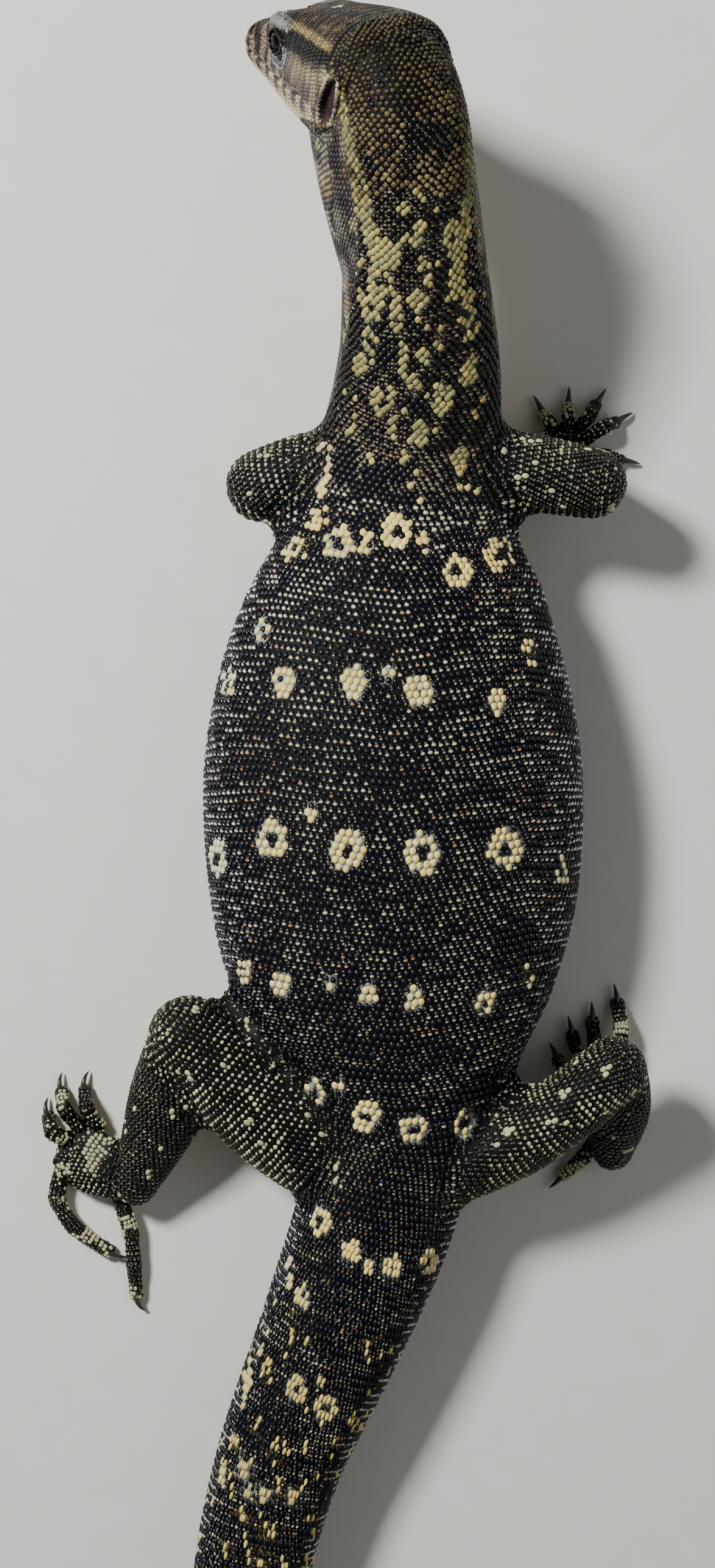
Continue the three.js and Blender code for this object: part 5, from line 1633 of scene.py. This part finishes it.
def dress_scales():
    """Seats, colours and builds every bed, joined by region into pieces of limited size."""
    beds = seated(all_beds())
    unwrap(beds)
    material = keratin_scales()
    slots = {"head": "head_skin", "trunk": "dark_skin", "tail": "dark_skin", "limbs": "limb_skin"}
    keys = ("seat", "normal", "back", "size", "height", "keel", "unwrap")
    for region, slot in slots.items():
        own = [bed for name, bed in beds if name == region and len(bed["seat"])]
        for sides in (6, 8):
            group = [bed for bed in own if bed["sides"] == sides]
            if not group:
                continue
            whole = {key: np.concatenate([bed[key] for bed in group]) for key in keys}
            colours = coat_paint(whole["seat"], whole["normal"])[:3]
            count = len(whole["seat"])
            pieces = int(np.ceil(count / PIECE_SCALES))
            for number, part in enumerate(np.array_split(np.arange(count), pieces), 1):
                bed = {key: whole[key][part] for key in keys} | {"sides": sides}
                shown = [values[part] for values in colours]
                piece = scale_mesh(f"scales_{region}_{sides}_{number}", bed, shown)
                piece.data.materials.append(material)
                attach(piece, "root")


def eyeball(name, side):
    """A ball of rings round the eye's axis, finer towards the pupil: angle from the axis runs
    as share^1.4, black to 28 degrees, with a gold ring at 29 and a dark iris beyond."""
    axis_angle = np.pi * np.linspace(0.004, 1, 61)[:-1] ** 1.4
    around = 2 * np.pi * np.arange(48) / 48
    cosine, sine = np.cos(axis_angle)[:, None], np.sin(axis_angle)[:, None]
    rings = np.stack([cosine + 0 * around, sine * np.cos(around), sine * np.sin(around)], -1)
    piece = new_piece(name, *tube(from_head((EYE + EYE_RADIUS * rings) * [side, 1, 1])))
    angle = np.degrees(axis_angle)
    iris = smooth_step(28, 34, angle) * smooth_step(80, 60, angle)
    tone = layered(mixed("#040405", "#1c130d", iris), ("#86703f", 0.3 * hill(angle, 29, 1.6)))
    colours = np.repeat(tone, 48, 0)
    paint_points(piece.data, "ground", np.concatenate([colours, colours[[0, -1]]]))
    return piece


def claw(points, turn):
    """A claw along its toe: circles of radius CLAW_RADIUS (1 - share)^0.8 + 0.05, narrower
    across, carried along a path that pitches from 26 degrees up to 52 down and turns aside."""
    tip, before = np.array(points[-1], float), np.array(points[-2], float)
    ahead = unit((tip - before) * [1, 1, 0])
    share = np.linspace(0, 1, 22)
    pitch = np.radians(26 - 78 * share)
    heading = turned(np.tile(ahead, (22, 1)), UP, np.radians(turn) * share)
    along = heading * np.cos(pitch)[:, None] + UP * np.sin(pitch)[:, None]
    steps = np.concatenate([np.zeros((1, 3)), (along[:-1] + along[1:]) / 2]) * CLAW_LENGTH / 21
    centre = tip + ahead * 0.2 + UP * 0.25 + np.cumsum(steps, 0)
    side = unit(np.cross(along, UP))
    upright = np.cross(side, along)
    radius = CLAW_RADIUS * (1 - share) ** 0.8 + 0.05
    angle = 2 * np.pi * np.arange(12)[:, None] / 12
    ring = side[:, None] * (np.cos(angle) * 0.72) + upright[:, None] * np.sin(angle)
    rings = centre[:, None] + ring * radius[:, None, None]
    rings[..., 2] = np.maximum(rings[..., 2], 0.05)
    return tube(rings)


def dress_eyes_and_claws():
    """Eyeballs and claws, each in the place of its node."""
    cornea = wet_eye()
    for name, side in (("eye_left", -1), ("eye_right", 1)):
        piece = eyeball(f"{name}_ball", side)
        piece.data.materials.append(cornea)
        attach(piece, "root")
        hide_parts(name)
    horn = claw_horn()
    for foot_name, foot in FEET.items():
        for number, ((points, _), turn) in enumerate(zip(foot["toes"], CLAW_TURNS[foot_name]), 1):
            piece = new_piece(f"horn_{foot_name}_{number}", *claw(points, turn))
            piece.data.materials.append(horn)
            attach(piece, "root")
            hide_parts(f"claw_{foot_name}_{number}")


def studio():
    """A plain pale floor, a soft key light from the upper left, a weak fill, a pale room, and
    the camera straight above at the photograph's framing."""
    corners = np.array([[-900.0, -900, -0.03], [900, -900, -0.03], [900, 900, -0.03], [-900, 900, -0.03]])
    floor = new_piece("floor", corners, np.array([[0, 1, 2, 3]]), NO_FACES)
    floor.data.materials.append(backing_paper())
    lamps = [("key", (-0.42, 0.34, 0.62), 0.15, 12.5), ("fill", (0.6, -0.1, 0.7), 0.7, 1.5)]
    for name, place, size, power in lamps:
        light = bpy.data.lights.new(name, "AREA")
        light.size = size
        light.energy = power
        lamp = bpy.data.objects.new(name, light)
        lamp.location = place
        lamp.rotation_euler = (-Vector(place)).to_track_quat("-Z", "Y").to_euler()
        bpy.context.scene.collection.objects.link(lamp)
    room = bpy.data.worlds.new("pale room")
    bpy.context.scene.world = room
    room.use_nodes = True
    backdrop = room.node_tree.nodes["Background"]
    backdrop.inputs["Color"].default_value = (*linear("#dfe3e8"), 1)
    backdrop.inputs["Strength"].default_value = 0.22
    camera = bpy.data.objects.new("camera", bpy.data.cameras.new("camera"))
    bpy.context.scene.collection.objects.link(camera)
    camera.location = (-5.5 * MM, 1.34 * MM, 472 * MM)
    camera.data.sensor_width = 36
    camera.data.lens = 53.655
    camera.data.clip_start = 0.02
    bpy.context.scene.camera = camera


dress_skin()
dress_scales()
dress_eyes_and_claws()
studio()
